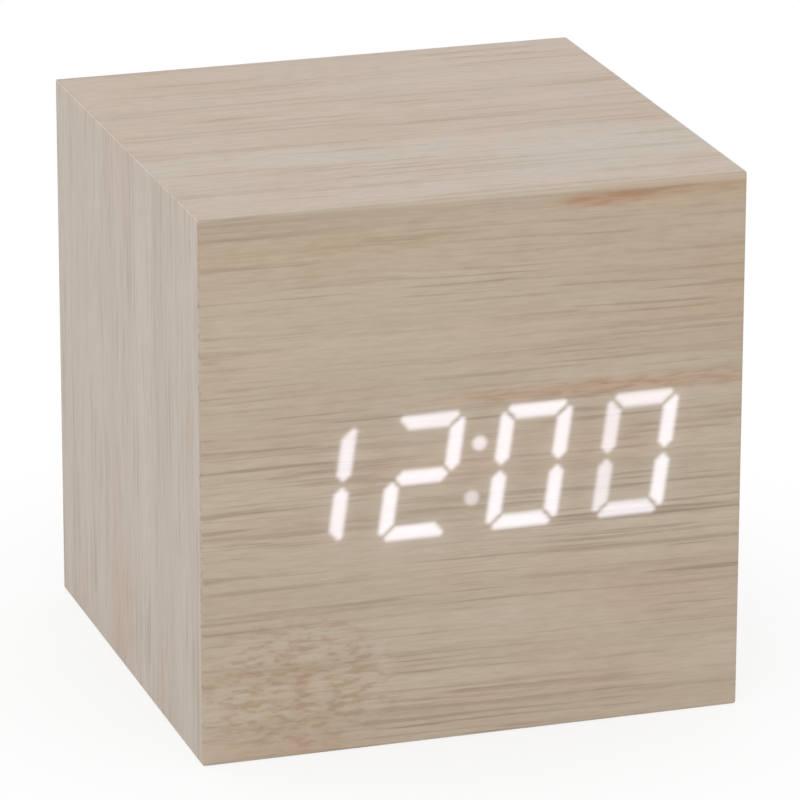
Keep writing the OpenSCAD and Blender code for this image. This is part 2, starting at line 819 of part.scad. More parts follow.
// Two ribs with a hollow for each cell
module cradles() {
    for (side = [-1, 1]) difference() {
        translate([side * bay_l / 4 - cradle_t / 2, floor_y - tray_wall / 2, bay_low_z - tray_wall / 2])
            cube([cradle_t, cradle_h + tray_wall / 2, bay_high_z - bay_low_z + tray_wall]);
        at_cells() rotate([0, 90, 0]) cylinder(d = cell_d + 2 * cradle_gap, h = case_w, center = true);
    }
}

// Raised marks: a ring and two arrows over the buttons, a direct-current sign under the socket
module panel_marks() {
    slab(panel_out_y - mark_root, mark_root + mark_t) {
        translate([button_places[0], mark_z]) difference() {
            circle(d = mark_h);
            circle(d = mark_h - 2 * mark_line);
        }
        for (i = [1, 2]) translate([button_places[i], mark_z]) mirror([0, i - 1])
            polygon([[-mark_h / 2, -mark_h / 2], [mark_h / 2, -mark_h / 2], [0, mark_h / 2]]);
        translate([-socket_x, sign_z]) {
            translate([0, mark_line]) square([sign_w, mark_line], center = true);
            for (i = [-1 : 1]) translate([i * sign_w * 3 / 8, -mark_line])
                square([sign_w / 4, mark_line], center = true);
        }
    }
}

module back_panel() {
    color(black_plastic) {
        difference() {
            panel_blank();
            bay_cuts();
            panel_holes();
        }
        cradles();
        panel_marks();
    }
}

module panel_screws() {
    color("#77797c") at_panel_screws() difference() {
        union() {
            translate([0, 0, panel_t - panel_screw_l]) cylinder(d = panel_screw_d, h = panel_screw_l);
            translate([0, 0, panel_t - panel_head_h])
                cylinder(d1 = panel_screw_d, d2 = panel_head_d, h = panel_head_h);
        }
        cross_recess(panel_t, panel_head_d / 2);
    }
}

// Battery door, hung on the rounded edge at its foot

module battery_door() {
    color(black_plastic) {
        slab(door_in_y, door_t) difference() {
            translate([-door_w / 2, hinge_z]) square([door_w, door_high_z - hinge_z]);
            for (side = [-1, 1]) translate([side * door_w / 2, door_high_z]) difference() {
                square(2 * door_corner_r, center = true);
                translate([-side, -1] * door_corner_r) circle(door_corner_r);
            }
        }
        translate([0, hinge_y, hinge_z]) rotate([0, 90, 0])
            cylinder(d = door_t, h = door_w, center = true);
        for (side = [-1, 1]) translate([side * toe_pitch / 2, 0, 0]) run(toe_w) polygon([
            [hinge_y, toe_high_z], [toe_out_y, toe_high_z], [toe_out_y, toe_low_z], [toe_in_y, toe_low_z],
            [toe_in_y, toe_high_z + toe_t], [hinge_y, toe_high_z + toe_t]
        ]);
        for (i = [1 : ridge_count])
            translate([0, panel_out_y, door_high_z - i * ridge_pitch]) rotate([0, 90, 0])
                cylinder(r = ridge_r, h = ridge_l, center = true);
    }
}

module door_catch() {
    color(black_plastic) run(catch_w) polygon([
        [door_in_y, catch_top_z], [catch_face_y, catch_top_z], [catch_face_y, open_high_z + catch_reach],
        [catch_in_y, catch_top_z], [catch_in_y, catch_top_z - catch_t], [door_in_y, catch_top_z - catch_t]
    ]);
}

// Buttons and key switches

module button(i) {
    r = button_d / 2;
    top = panel_out_y + button_proud - lip_y;
    color("#38383b") face_back(button_places[i], lip_y, key_z) difference() {
        rotate_extrude() polygon([
            [0, 0], [r + button_lip, 0], [r + button_lip, button_lip_t], [r, button_lip_t],
            [r, top - edge_chamfer], [r - edge_chamfer, top], [0, top]
        ]);
        translate([0, 0, top + hollow_r - hollow_deep]) sphere(hollow_r);
    }
}

module plunger(i) {
    color("#4a4a4e") face_back(button_places[i], switch_y - plunger_in, key_z)
        cylinder(d = plunger_d, h = plunger_in + plunger_out);
}

module switch_body(i) {
    well = plunger_in + press_travel + plunger_floor;
    color("#5c5e62") translate([button_places[i], 0, key_z]) difference() {
        union() {
            slab(key_y, switch_h) square(switch_w, center = true);
            for (sx = [-1, 1], sz = [-1, 1])
                slab(key_y, foot_t) translate([sx * switch_w / 3, sz * switch_w / 2])
                    square([foot_w, 2 * foot_l], center = true);
        }
        face_back(0, switch_y - well, 0) cylinder(d = plunger_d + 2 * plunger_gap, h = well + cut);
    }
}

module key_board() {
    color(circuit_green) difference() {
        slab(key_front_y, pcb_t) translate([-key_board_w / 2, key_low_z])
            square([key_board_w, key_high_z - key_low_z]);
        at_key_screws(key_front_y - cut) cylinder(d = board_screw_d + 2 * screw_gap, h = pcb_t + 2 * cut);
    }
}

module key_board_screws() {
    color("#8d8f92") at_key_screws(key_front_y) mirror([0, 0, 1])
        pan_screw(board_screw_d, pcb_t + key_screw_l - front_grip);
}

module microphone() {
    color(nickel) face_back(socket_x, key_y, key_z) difference() {
        cylinder(d = mic_d, h = mic_h);
        translate([0, 0, mic_h / 2]) cylinder(d = sound_hole_d, h = mic_h);
    }
}

// Power socket

module socket_shell() {
    length = panel_out_y - socket_inset - key_y;
    color(nickel) translate([-socket_x, 0, key_z]) difference() {
        slab(key_y, length) socket_outline(0);
        slab(key_y - cut, length + 2 * cut) socket_outline(socket_wall);
    }
}

module socket_tongue() {
    tongue_l = panel_out_y - 2 * socket_inset - key_y;
    color(black_plastic) translate([-socket_x, 0, key_z]) {
        slab(key_y, tongue_root) socket_outline(socket_wall + touch_gap);
        slab(key_y, tongue_l) translate([0, tongue_t / 2]) square([tongue_w, tongue_t], center = true);
    }
}

// Cells and contacts. The cells lie head to tail, the lowest with its terminal to +X.

function points_right(i) = i % 2 == 0 ? 1 : -1;

module cell(i) {
    r = cell_d / 2;
    shoulder = cell_l - terminal_h;
    color(i == 1 ? "#6d7d86" : "#7d8d96")
        translate([-points_right(i) * (contact_x - spring_l), cell_y, cell_z(i)])
            rotate([0, points_right(i) * 90, 0]) rotate_extrude() polygon([
                [0, 0], [r - edge_chamfer, 0], [r, edge_chamfer], [r, shoulder - edge_chamfer],
                [r - edge_chamfer, shoulder], [terminal_d / 2, shoulder], [terminal_d / 2, cell_l],
                [0, cell_l]
            ]);
}

// A flat plate against the tray's end wall, from one cell to another
module plate(side, low_cell, high_cell) {
    low = cell_z(low_cell) - plate_w / 2;
    translate([side > 0 ? contact_x : -contact_x - plate_t, floor_y, low])
        cube([plate_t, plate_h, cell_z(high_cell) + plate_w / 2 - low]);
}

module bump(side, i) {
    translate([side * contact_x, cell_y, cell_z(i)]) rotate([0, -side * 90, 0])
        cylinder(d1 = bump_d, d2 = bump_d - 2 * bump_h, h = bump_h - touch_gap);
}

module tail(side, i) {
    deep = floor_y - floor_out_y + tail_l;
    translate([side * (bay_l - plate_t) / 2, floor_y - deep / 2 + touch_gap, cell_z(i)])
        cube([plate_t, deep + 2 * touch_gap, tail_w], center = true);
}

module plus_contact() {
    color(nickel) {
        plate(1, 0, 0);
        bump(1, 0);
        tail(1, 0);
    }
}

module minus_contact() {
    color(nickel) {
        plate(-1, 2, 2);
        tail(-1, 2);
    }
}

module left_bridge() {
    color(nickel) {
        plate(-1, 0, 1);
        bump(-1, 1);
    }
}

module right_bridge() {
    color(nickel) {
        plate(1, 1, 2);
        bump(1, 2);
    }
}

// A cone of wire whose two ends run straight, square to the plate and to the cell
curl_rings = 8;
spring_sides = 6;
spring_rings = round(spring_turns * curl_rings);
spring_path = concat(
    [[0, spring_base_r, 0]],
    [for (i = [0 : spring_rings])
        let (t = i / spring_rings)
        let (along = wire_d + t * (spring_l - 2 * wire_d))
        let (radius = spring_base_r + t * (spring_tip_r - spring_base_r))
        [along, radius, t * 360 * spring_turns]],
    [[spring_l - touch_gap, spring_tip_r, 360 * spring_turns]]
);
spring_points = [for (p = spring_path) [p[0], p[1] * cos(p[2]), p[1] * sin(p[2])]];
spring_outward = [for (p = spring_path) [0, cos(p[2]), sin(p[2])]];
half_curl = curl_rings / 2;
last_point = len(spring_points) - 1;
spring_least_gap = min([for (i = [0 : last_point - half_curl], j = [i + half_curl : last_point])
    norm(spring_points[i] - spring_points[j])]) - wire_d;
echo(str("contact spring, least gap between turns: ", spring_least_gap, " mm"));

module contact_spring(i) {
    side = -points_right(i);
    color(nickel) translate([side * contact_x, cell_y, cell_z(i)]) rotate([0, 0, side > 0 ? 180 : 0])
        tube(spring_points, spring_outward, wire_d / 2, spring_sides);
}

module lead(side, i, route) {
    straight = [0, lead_straight, 0];
    start = [side * (bay_l - plate_t) / 2, floor_out_y - tail_l, cell_z(i)];
    end = [side * lead_x, key_front_y, key_z];
    bends = [for (p = route) [
        start[0] - side * p[0], floor_out_y - p[1], start[2] + p[2] * (end[2] - start[2])
    ]];
    path = concat([start, start - straight], bends, [end - straight, end]);
    tube(path, [for (p = path) [1, 0, 0]], lead_d / 2, lead_sides);
}

module plus_lead() {
    color("#b23a30") lead(1, 0, plus_route);
}

module minus_lead() {
    color(black_plastic) lead(-1, cell_count - 1, minus_route);
}

front_veneer();
front_board();
mitred_board(0);  // top_board
mitred_board(180);  // bottom_board
mitred_board(-90);  // left_board
mitred_board(90);  // right_board
batten(batten_top_z);  // upper_batten
batten(board_t);  // lower_batten
back_panel();
panel_screws();
battery_door();
door_catch();
button(0);  // button_set
button(1);  // button_up
button(2);  // button_down
plunger(0);  // plunger_set
plunger(1);  // plunger_up
plunger(2);  // plunger_down
switch_body(0);  // switch_set
switch_body(1);  // switch_up
switch_body(2);  // switch_down
key_board();
key_board_screws();
socket_shell();
socket_tongue();
microphone();
display_housing();
segment_lenses();
display_base();
light_chips();
display_pins();
main_board();
board_spacers();
board_screws();
controller_chip();
crystal();
buzzer();
temperature_sensor();
ribbon_headers();
ribbon_cable();
cell(0);  // cell_1
cell(1);  // cell_2
cell(2);  // cell_3
plus_contact();
minus_contact();
left_bridge();
right_bridge();
contact_spring(0);  // contact_spring_1
contact_spring(1);  // contact_spring_2
contact_spring(2);  // contact_spring_3
plus_lead();
minus_lead();
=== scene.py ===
import math

import bmesh
import bpy
import numpy as np
from mathutils import Matrix, Vector


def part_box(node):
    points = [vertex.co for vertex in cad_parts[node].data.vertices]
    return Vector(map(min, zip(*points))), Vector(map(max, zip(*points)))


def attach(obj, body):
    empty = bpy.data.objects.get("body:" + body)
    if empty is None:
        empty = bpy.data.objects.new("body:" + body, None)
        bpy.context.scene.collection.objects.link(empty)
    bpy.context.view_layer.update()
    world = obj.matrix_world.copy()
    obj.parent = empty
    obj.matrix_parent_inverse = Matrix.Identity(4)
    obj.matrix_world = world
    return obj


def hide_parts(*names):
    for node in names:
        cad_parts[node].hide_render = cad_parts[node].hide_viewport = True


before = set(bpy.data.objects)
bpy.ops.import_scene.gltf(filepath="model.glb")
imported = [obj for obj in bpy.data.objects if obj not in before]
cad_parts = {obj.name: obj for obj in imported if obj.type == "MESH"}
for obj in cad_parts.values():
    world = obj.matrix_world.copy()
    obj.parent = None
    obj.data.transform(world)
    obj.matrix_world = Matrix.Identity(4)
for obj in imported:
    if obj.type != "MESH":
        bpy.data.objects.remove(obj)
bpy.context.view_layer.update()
mm = 0.001  # metres
print("frame loaded:", len(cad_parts), "CAD nodes")


# Colours and nodes

# an sRGB hex value as linear light; the numbers are those of the sRGB curve
def linearColour(hexColour):
    parts = [int(hexColour[i:i + 2], 16) / 255 for i in (1, 3, 5)]
    return (*[c / 12.92 if c <= 0.04045 else ((c + 0.055) / 1.055) ** 2.4 for c in parts], 1.0)


# adds one node: its sockets, by name or number, take a node, an output, a hex colour or a plain
# value; a Mix of colours has its share in socket 0 and the two colours in 6 and 7
def addNode(tree, kind, sockets=None, stops=None, **settings):
    added = tree.nodes.new("ShaderNode" + kind)
    for name, value in settings.items():
        setattr(added, name, value)
    for socket, value in (sockets or {}).items():
        if isinstance(value, bpy.types.Node):
            value = next(output for output in value.outputs if output.enabled)
        if isinstance(value, bpy.types.NodeSocket):
            tree.links.new(value, added.inputs[socket])
        else:
            added.inputs[socket].default_value = linearColour(value) if isinstance(value, str) else value
    for i, (place, colour) in enumerate(stops or []):
        ramp = added.color_ramp.elements
        stop = ramp[i] if i < len(ramp) else ramp.new(place)
        stop.position, stop.color = place, linearColour(colour)
    return added


def startMaterial(name):
    material = bpy.data.materials.new(name)
    material.use_nodes = True
    material.node_tree.nodes.clear()
    return material, material.node_tree


def dress(material, *names):
    for name in names:
        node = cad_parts[name]
        if not node.material_slots:
            node.data.materials.append(material)
        for slot in node.material_slots:
            slot.material = material


# Camera, at the photograph's angle

photoCamera = {
    "azimuth": -18.005, "elevation": 18.573, "roll": 0.128,  # degrees
    "place": (-194.51, -601.49, 241.95), "lens": 265.24, "sensor": 36.0,  # mm
    "clip": (0.01, 20),  # metres
}

bpy.ops.object.select_all(action="DESELECT")
bpy.ops.object.camera_add()
camera = bpy.context.object
camera.name = "photoCamera"
turn, tilt, roll = (math.radians(photoCamera[k]) for k in ("azimuth", "elevation", "roll"))
back = Vector((math.sin(turn) * math.cos(tilt), -math.cos(turn) * math.cos(tilt), math.sin(tilt)))
right = Vector((0, 0, 1)).cross(back).normalized()
axes = Matrix((right, back.cross(right), back)).transposed().to_4x4()
place = Matrix.Translation(Vector(photoCamera["place"]) * mm)
camera.matrix_world = place @ axes @ Matrix.Rotation(roll, 4, "Z")
camera.data.lens, camera.data.sensor_width = photoCamera["lens"], photoCamera["sensor"]
camera.data.clip_start, camera.data.clip_end = photoCamera["clip"]
bpy.context.scene.camera = camera
bpy.context.scene.view_settings.view_transform = "Standard"
print("camera placed")


# Studio: white surroundings, a pale floor that keeps a faint shadow, and soft lamps

studio = {
    "skyLight": 0.75,  # level of the surroundings as a light
    "floorSize": 8.0, "floorDrop": 0.00002, "floorColour": "#fbfbfa",  # metres
    # the floor is lit paint near the object, and plain white further off
    "shadowShare": 0.22, "shadowReach": 0.085, "shadowFull": 0.7,
    "aim": (0, 0, 0.031),
    "lamps": [  # name, where it stands and the side of its square (metres), watts
        ("frontLamp", (-0.20, -0.62, 0.36), 0.55, 1.23),
        ("leftLamp", (-0.40, 0.62, 0.14), 0.70, 1.54),
        ("backLamp", (0.25, 0.70, 0.28), 0.60, 0.52),
    ],
}


# 1 where the camera looks straight at it, or by a mirror or glass
def seenPlainly(tree):
    path = addNode(tree, "LightPath")
    mirrored = addNode(tree, "Math", {
        0: path.outputs["Is Camera Ray"], 1: path.outputs["Is Glossy Ray"],
    }, operation="MAXIMUM")
    return addNode(tree, "Math", {
        0: mirrored, 1: path.outputs["Is Transmission Ray"],
    }, operation="MAXIMUM")


world = bpy.data.worlds.new("whiteSurroundings")
bpy.context.scene.world = world
world.use_nodes = True
tree = world.node_tree
tree.nodes.clear()
level = addNode(tree, "MapRange", {
    "Value": seenPlainly(tree), "To Min": studio["skyLight"], "To Max": 1.0,
})
sky = addNode(tree, "Background", {"Color": "#ffffff", "Strength": level})
addNode(tree, "OutputWorld", {"Surface": sky})

bpy.ops.mesh.primitive_plane_add(size=studio["floorSize"], location=(0, 0, -studio["floorDrop"]))
floor = bpy.context.object
floor.name = "studioFloor"
floorPaint, tree = startMaterial("matt white studio paint")  # flat and even, with no shine
lit = addNode(tree, "BsdfDiffuse", {"Color": studio["floorColour"]})
white = addNode(tree, "Emission", {"Color": "#ffffff", "Strength": 1.0})
near = addNode(tree, "Mapping", {
    "Vector": addNode(tree, "TexCoord").outputs["Object"], "Scale": (1 / studio["shadowReach"],) * 3,
})
close = addNode(tree, "TexGradient", {0: near}, gradient_type="SPHERICAL").outputs["Fac"]
plain = addNode(tree, "MapRange", {
    "Value": close, "From Max": studio["shadowFull"], "To Min": 1.0, "To Max": 1 - studio["shadowShare"],
}, interpolation_type="SMOOTHSTEP")
share = addNode(tree, "Math", {0: seenPlainly(tree), 1: plain}, operation="MULTIPLY")
mixed = addNode(tree, "MixShader", {0: share, 1: lit, 2: white})
addNode(tree, "OutputMaterial", {"Surface": mixed})
floor.data.materials.append(floorPaint)

for name, place, side, watts in studio["lamps"]:
    bpy.ops.object.light_add(type="AREA", location=place)
    lamp = bpy.context.object
    lamp.name = name
    lamp.data.energy, lamp.data.size = watts, side
    lamp.rotation_mode = "QUATERNION"
    lamp.rotation_quaternion = (Vector(studio["aim"]) - Vector(place)).to_track_quat("-Z", "Y")
    lamp.visible_camera = False
print("studio set")


# Bamboo: pressed strips, planed and thinly oiled. Fine dark fibre bundles run the length of the
# strip, tone drifts from strip to strip, and a satin skin whitens at a low angle.

bamboo = {
    "base": "#b8a996", "pale": "#c0b2a0", "warm": "#baa18a", "bundle": "#89745c", "fleck": "#94704f",
    "waver": (55, 16, 1.3, 2, 11),  # bends in the grain: length, width and size (mm), detail, start
    # noise drawn out along the grain: length and width of a patch (mm), detail, where the noise
    # starts, and the part of its range that counts
    "layers": {
        "band": (70, 5.0, 3, 3, 0.32, 0.68),  # pale and darker strips
        "drift": (45, 9.0, 2, 7, 0.45, 0.75),  # warmer places
        "bundle": (42, 0.70, 2, 0, 0.50, 0.70),  # long fibre bundles
        "hair": (22, 0.54, 2, 41, 0.56, 0.69),  # the darkest of them
        "fibre": (3.0, 0.46, 2, 5, 0.35, 0.70),  # short fibres, cut through by the plane
        "thread": (5.0, 0.16, 1, 31, 0.35, 0.65),  # single fibres, drawn at twice their width to show
        "crowd": (45, 9.0, 1, 19, 0.30, 0.62),  # where bundles crowd together
        "fleck": (2.1, 0.74, 3, 23, 0.44, 0.66),  # broken bundles at a joint of the cane
        "paleFleck": (3.15, 1.48, 2, 29, 0.48, 0.68),
    },
    "straight": ("crowd", "fleck", "paleFleck"),  # layers that take no part in the waver
    "thinned": ("bundle", "hair"),  # layers that crowd together
    "depths": {"bundle": 0.43, "hair": 0.58, "fibre": 0.15, "thread": 0.05},
    "warmth": 0.55, "crowding": (0.45, 1.0), "fray": 0.55, "noiseRoughness": 0.55,
    "full": {"stain": 0.8, "calm": 0.6, "joint": 0.55},  # how far in a place is at full strength
    "jointFleck": 0.42, "jointPale": 0.6, "jointCrowd": 0.35,
    "roughness": (0.40, 0.54), "ior": 1.5, "relief": 0.02, "reliefStrength": 0.35,
}

# Each board turns its own axes (degrees) to read along, across and through its grain in mm, and
# shifts the noise so that the boards differ. Its tints run across the grain. Its places are a stain or
# the painted highlight of an eased edge, a calm stretch with few bundles or a joint of the cane: kind,
# middle along and across, reach along and across, strength, and the colour of the stain or highlight.
boards = {
    "front": {
        "turn": (-90, 0, 0.7), "shift": (0, 0, 0), "across": (0, 62),
        "tints": [
            (0.0, "#fffdfb"), (0.25, "#fdfbf9"), (0.55, "#fdfbf8"), (0.85, "#fbf8f5"), (1.0, "#f9f4ef"),
        ],
        "places": [
            ("stain", 0.0, 62.8, 900.0, 1.5, 0.85, "#cbbdab"),  # painted highlight: paler along the eased top edge, where its rounding catches the light
            ("stain", 24.0, 61.7, 17.0, 1.1, 0.60, "#aa8a66"),
            ("stain", 14.0, 61.3, 8.5, 1.2, 0.75, "#a8744f"),
            ("stain", 16.0, 39.8, 30.0, 1.5, 0.68, "#a67a57"),
            ("stain", -12.0, 58.0, 14.0, 1.6, 0.40, "#b08f72"),
            ("stain", -19.0, 57.0, 11.0, 4.0, 0.30, "#b49f7c"),
            ("stain", -21.0, 7.0, 13.0, 8.0, 0.28, "#ad8a67"),
            ("calm", -13.0, 47.0, 26.0, 10.0, 0.45),
            ("calm", 20.0, 9.0, 26.0, 13.0, 0.30),
            ("calm", 0.0, 31.5, 28.0, 8.0, 0.30),
            ("joint", -20.0, 8.0, 15.0, 10.5, 1.0),
        ],
    },
    "top": {
        "turn": (0, 0, 0), "shift": (37, 110, 0), "across": (-29.5, 29.5),
        "base": "#b7a592", "pale": "#bdad9c",
        "layers": {
            "drift": (15, 6.0, 2, 7, 0.45, 0.70), "bundle": (22, 0.70, 2, 0, 0.50, 0.70),
            "hair": (15, 0.44, 2, 41, 0.56, 0.69), "fibre": (2.3, 0.48, 2, 5, 0.35, 0.70),
        },
        "depths": {"bundle": 0.065, "hair": 0.06, "fibre": 0.185},
        "tints": [
            (0.0, "#fffdfb"), (0.388, "#ffffff"), (0.402, "#fbf5f0"), (0.50, "#fcf7f2"),
            (0.512, "#f7f0e9"), (0.526, "#fcf7f2"), (0.682, "#fcf7f2"), (0.694, "#f2e9e0"),
            (0.708, "#fdf8f3"), (1.0, "#fef9f5"),
        ],
        "places": [
            ("stain", -14.0, -17.0, 10.0, 7.0, 0.45, "#b5937c"),
            ("stain", 16.0, -17.0, 17.0, 9.0, 0.5, "#bdb0a0"),
            ("joint", 0.0, 20.0, 12.0, 6.0, 0.35),
        ],
    },
    "side": {
        "turn": (0, 90, 0), "shift": (0, 53, 0), "across": (-29.5, 29.5),
        # the sides' base, pale and warm colours are greyer and paler than the front's: the bamboo's own
        # tone with a painted sheen of low-angle light mixed in
        "base": "#baad9f", "pale": "#c0b5a9", "warm": "#bba796",
        "layers": {
            "bundle": (15, 0.8, 2, 0, 0.50, 0.70), "hair": (14, 0.44, 2, 41, 0.56, 0.69),
            "fibre": (3.0, 0.42, 2, 5, 0.35, 0.70),
        },
        "depths": {"bundle": 0.22, "hair": 0.16, "fibre": 0.16},
        "tints": [
            (0.0, "#ffffff"), (0.06, "#fdfbf8"), (0.30, "#faf6f2"), (0.34, "#ffffff"), (0.62, "#fbf5f1"),
            (0.66, "#fffdfb"), (1.0, "#f8f6f2"),
        ],
        "places": [
            ("stain", 7.0, 3.0, 10.0, 11.0, 0.4, "#b5967f"),
            ("stain", 59.0, 1.0, 10.0, 14.0, 0.3, "#b9a08e"),
            ("joint", 11.0, -2.0, 7.0, 12.0, 0.3),
        ],
    },
}


def bambooMaterial(name, board, glow=None):
    material, tree = startMaterial(name)
    look = dict(bamboo, **board)
    for part in ("layers", "depths"):
        look[part] = dict(bamboo[part], **board.get(part, {}))
    grain = addNode(tree, "Mapping", {
        "Vector": addNode(tree, "TexCoord").outputs["Object"],
        "Rotation": [math.radians(a) for a in look["turn"]], "Scale": (1 / mm,) * 3,
    })

    # the grain wavers a little from side to side
    length, width, size, detail, start = look["waver"]
    stretched = addNode(tree, "Mapping", {
        "Vector": grain, "Location": [s + start for s in look["shift"]],
        "Scale": (1 / length, 1 / width, 1 / width),
    })
    bends = addNode(tree, "TexNoise", {
        "Vector": stretched, "Scale": 1.0, "Detail": detail, "Roughness": look["noiseRoughness"],
    })
    wavy = addNode(tree, "VectorMath", {
        0: bends.outputs["Color"], 1: (0, size, 0), 2: grain,
    }, operation="MULTIPLY_ADD")

    layer = {}
    for key, (length, width, detail, start, low, high) in look["layers"].items():
        stretched = addNode(tree, "Mapping", {
            "Vector": grain if key in look["straight"] else wavy,
            "Location": [s + start for s in look["shift"]],
            "Scale": (1 / length, 1 / width, 1 / width),
        })
        noise = addNode(tree, "TexNoise", {
            "Vector": stretched, "Scale": 1.0, "Detail": detail, "Roughness": look["noiseRoughness"],
        })
        layer[key] = addNode(tree, "MapRange", {
            "Value": noise, "From Min": low, "From Max": high,
        }, interpolation_type="SMOOTHSTEP")

    colour = addNode(tree, "Mix", {0: layer["band"], 6: look["base"], 7: look["pale"]}, data_type="RGBA")
    warmth = addNode(tree, "Math", {0: layer["drift"], 1: look["warmth"]}, operation="MULTIPLY")
    colour = addNode(tree, "Mix", {0: warmth, 6: colour, 7: look["warm"]}, data_type="RGBA")
    across = addNode(tree, "MapRange", {
        "Value": addNode(tree, "SeparateXYZ", {0: wavy}).outputs[1],
        "From Min": look["across"][0], "From Max": look["across"][1],
    })
    tint = addNode(tree, "ValToRGB", {0: across}, stops=look["tints"])
    colour = addNode(tree, "Mix", {0: 1.0, 6: colour, 7: tint}, data_type="RGBA", blend_type="MULTIPLY")

    crowd = addNode(tree, "MapRange", {
        "Value": layer["crowd"], "To Min": look["crowding"][0], "To Max": look["crowding"][1],
    })
    fray = addNode(tree, "MapRange", {
        "Value": layer["fibre"], "To Min": look["fray"], "To Max": 1.0,
    }, interpolation_type="SMOOTHSTEP")
    for kind, along, over, reachAlong, reachOver, strength, *stain in look["places"]:
        near = addNode(tree, "Mapping", {
            "Vector": grain if kind == "joint" else wavy,
            "Location": (-along / reachAlong, -over / reachOver, 0),
            "Scale": (1 / reachAlong, 1 / reachOver, 0),
        })
        patch = addNode(tree, "TexGradient", {0: near}, gradient_type="SPHERICAL").outputs["Fac"]
        inside = addNode(tree, "MapRange", {
            "Value": patch, "From Max": look["full"][kind], "To Max": strength,
        }, interpolation_type="SMOOTHSTEP")
        # stains, and the painted highlight of the front's top edge, are laid over the grain colour where
        # the fibres allow
        if kind == "stain":
            frayed = addNode(tree, "Math", {0: inside, 1: fray}, operation="MULTIPLY")
            colour = addNode(tree, "Mix", {0: frayed, 6: colour, 7: stain[0]}, data_type="RGBA")
            continue
        if kind == "joint":
            # short broken flecks, pale and dark, in place of long bundles
            for key, share, hue in (("paleFleck", "jointPale", "pale"), ("fleck", "jointFleck", "fleck")):
                flecks = addNode(tree, "Math", {0: layer[key], 1: inside}, operation="MULTIPLY")
                flecks = addNode(tree, "Math", {0: flecks, 1: look[share]}, operation="MULTIPLY")
                colour = addNode(tree, "Mix", {0: flecks, 6: colour, 7: look[hue]}, data_type="RGBA")
            inside = addNode(tree, "MapRange", {
                "Value": inside, "To Max": 1 - look["jointCrowd"],
            }, interpolation_type="SMOOTHSTEP")
        fewer = addNode(tree, "Math", {0: 1.0, 1: inside}, operation="SUBTRACT")
        crowd = addNode(tree, "Math", {0: crowd, 1: fewer}, operation="MULTIPLY")

    for key, depth in look["depths"].items():
        share = addNode(tree, "Math", {0: layer[key], 1: depth}, operation="MULTIPLY")
        if key in look["thinned"]:
            share = addNode(tree, "Math", {0: share, 1: crowd}, operation="MULTIPLY")
        colour = addNode(tree, "Mix", {0: share, 6: colour, 7: look["bundle"]}, data_type="RGBA")
    gloss = addNode(tree, "MapRange", {
        "Value": layer["bundle"], "To Min": look["roughness"][0], "To Max": look["roughness"][1],
    }, interpolation_type="SMOOTHSTEP")
    skin = addNode(tree, "Bump", {
        "Height": layer["fibre"], "Strength": look["reliefStrength"], "Distance": look["relief"] * mm,
    })
    sockets = {"Base Color": colour, "Normal": skin, "IOR": look["ior"], "Roughness": gloss}
    if glow:
        # the light almost drowns the grain
        dark = addNode(tree, "Math", {0: layer["bundle"], 1: layer["hair"]}, operation="MAXIMUM")
        power = addNode(tree, "MapRange", {
            "Value": dark, "To Min": glow["strength"], "To Max": glow["strengthOverDark"],
        }, interpolation_type="SMOOTHSTEP")
        light = addNode(tree, "Attribute", attribute_name=glow["attribute"]).outputs["Fac"]
        sockets["Emission Color"] = glow["colour"]
        sockets["Emission Strength"] = addNode(tree, "Math", {0: light, 1: power}, operation="MULTIPLY")
    surface = addNode(tree, "BsdfPrincipled", sockets)
    addNode(tree, "OutputMaterial", {"Surface": surface})
    return material


dress(bambooMaterial("planed bamboo, top and bottom", boards["top"]), "top_board", "bottom_board")
dress(bambooMaterial("planed bamboo, sides", boards["side"]), "left_board", "right_board")
print("bamboo boards dressed")


# Modelling helpers

tubing = {"roundSteps": 5, "mergeGap": 0.001, "smoothAngle": 40}  # mm, degrees


def deselect():
    if bpy.context.mode != "OBJECT":
        bpy.ops.object.mode_set(mode="OBJECT")
    bpy.ops.object.select_all(action="DESELECT")


def startBlock(name, low, high):
    deselect()
    bpy.ops.mesh.primitive_cube_add(size=1, location=(low + high) / 2, scale=high - low)
    piece = bpy.context.object
    piece.name = piece.data.name = name
    bpy.ops.object.transform_apply(location=True, rotation=True, scale=True)
    return piece


# in edit mode, selects the faces whose middle and direction pass the test
def pickFaces(test):
    bpy.ops.mesh.select_mode(type="FACE")
    bpy.ops.mesh.select_all(action="DESELECT")
    shape = bmesh.from_edit_mesh(bpy.context.edit_object.data)
    for face in shape.faces:
        if test(face.calc_center_median(), face.normal):
            face.select_set(True)
    bmesh.update_edit_mesh(bpy.context.edit_object.data)


# a round tube through the points, in mm, made a mesh with closed ends
def tube(name, points, diameter):
    deselect()
    bpy.ops.curve.primitive_nurbs_path_add()
    piece = bpy.context.object
    piece.name = piece.data.name = name
    piece.data.splines.clear()
    run = piece.data.splines.new("POLY")
    run.points.add(len(points) - 1)
    run.points.foreach_set("co", np.column_stack([np.array(points) * mm, np.ones(len(points))]).ravel())
    piece.data.bevel_depth, piece.data.bevel_resolution = diameter / 2 * mm, tubing["roundSteps"]
    piece.data.use_fill_caps = True
    bpy.ops.object.convert(target="MESH")
    piece = bpy.context.object
    bpy.ops.object.mode_set(mode="EDIT")
    bpy.ops.mesh.select_all(action="SELECT")
    bpy.ops.mesh.remove_doubles(threshold=tubing["mergeGap"] * mm)
    bpy.ops.mesh.normals_make_consistent(inside=False)
    bpy.ops.object.mode_set(mode="OBJECT")
    bpy.ops.object.shade_smooth_by_angle(angle=math.radians(tubing["smoothAngle"]))
    return piece


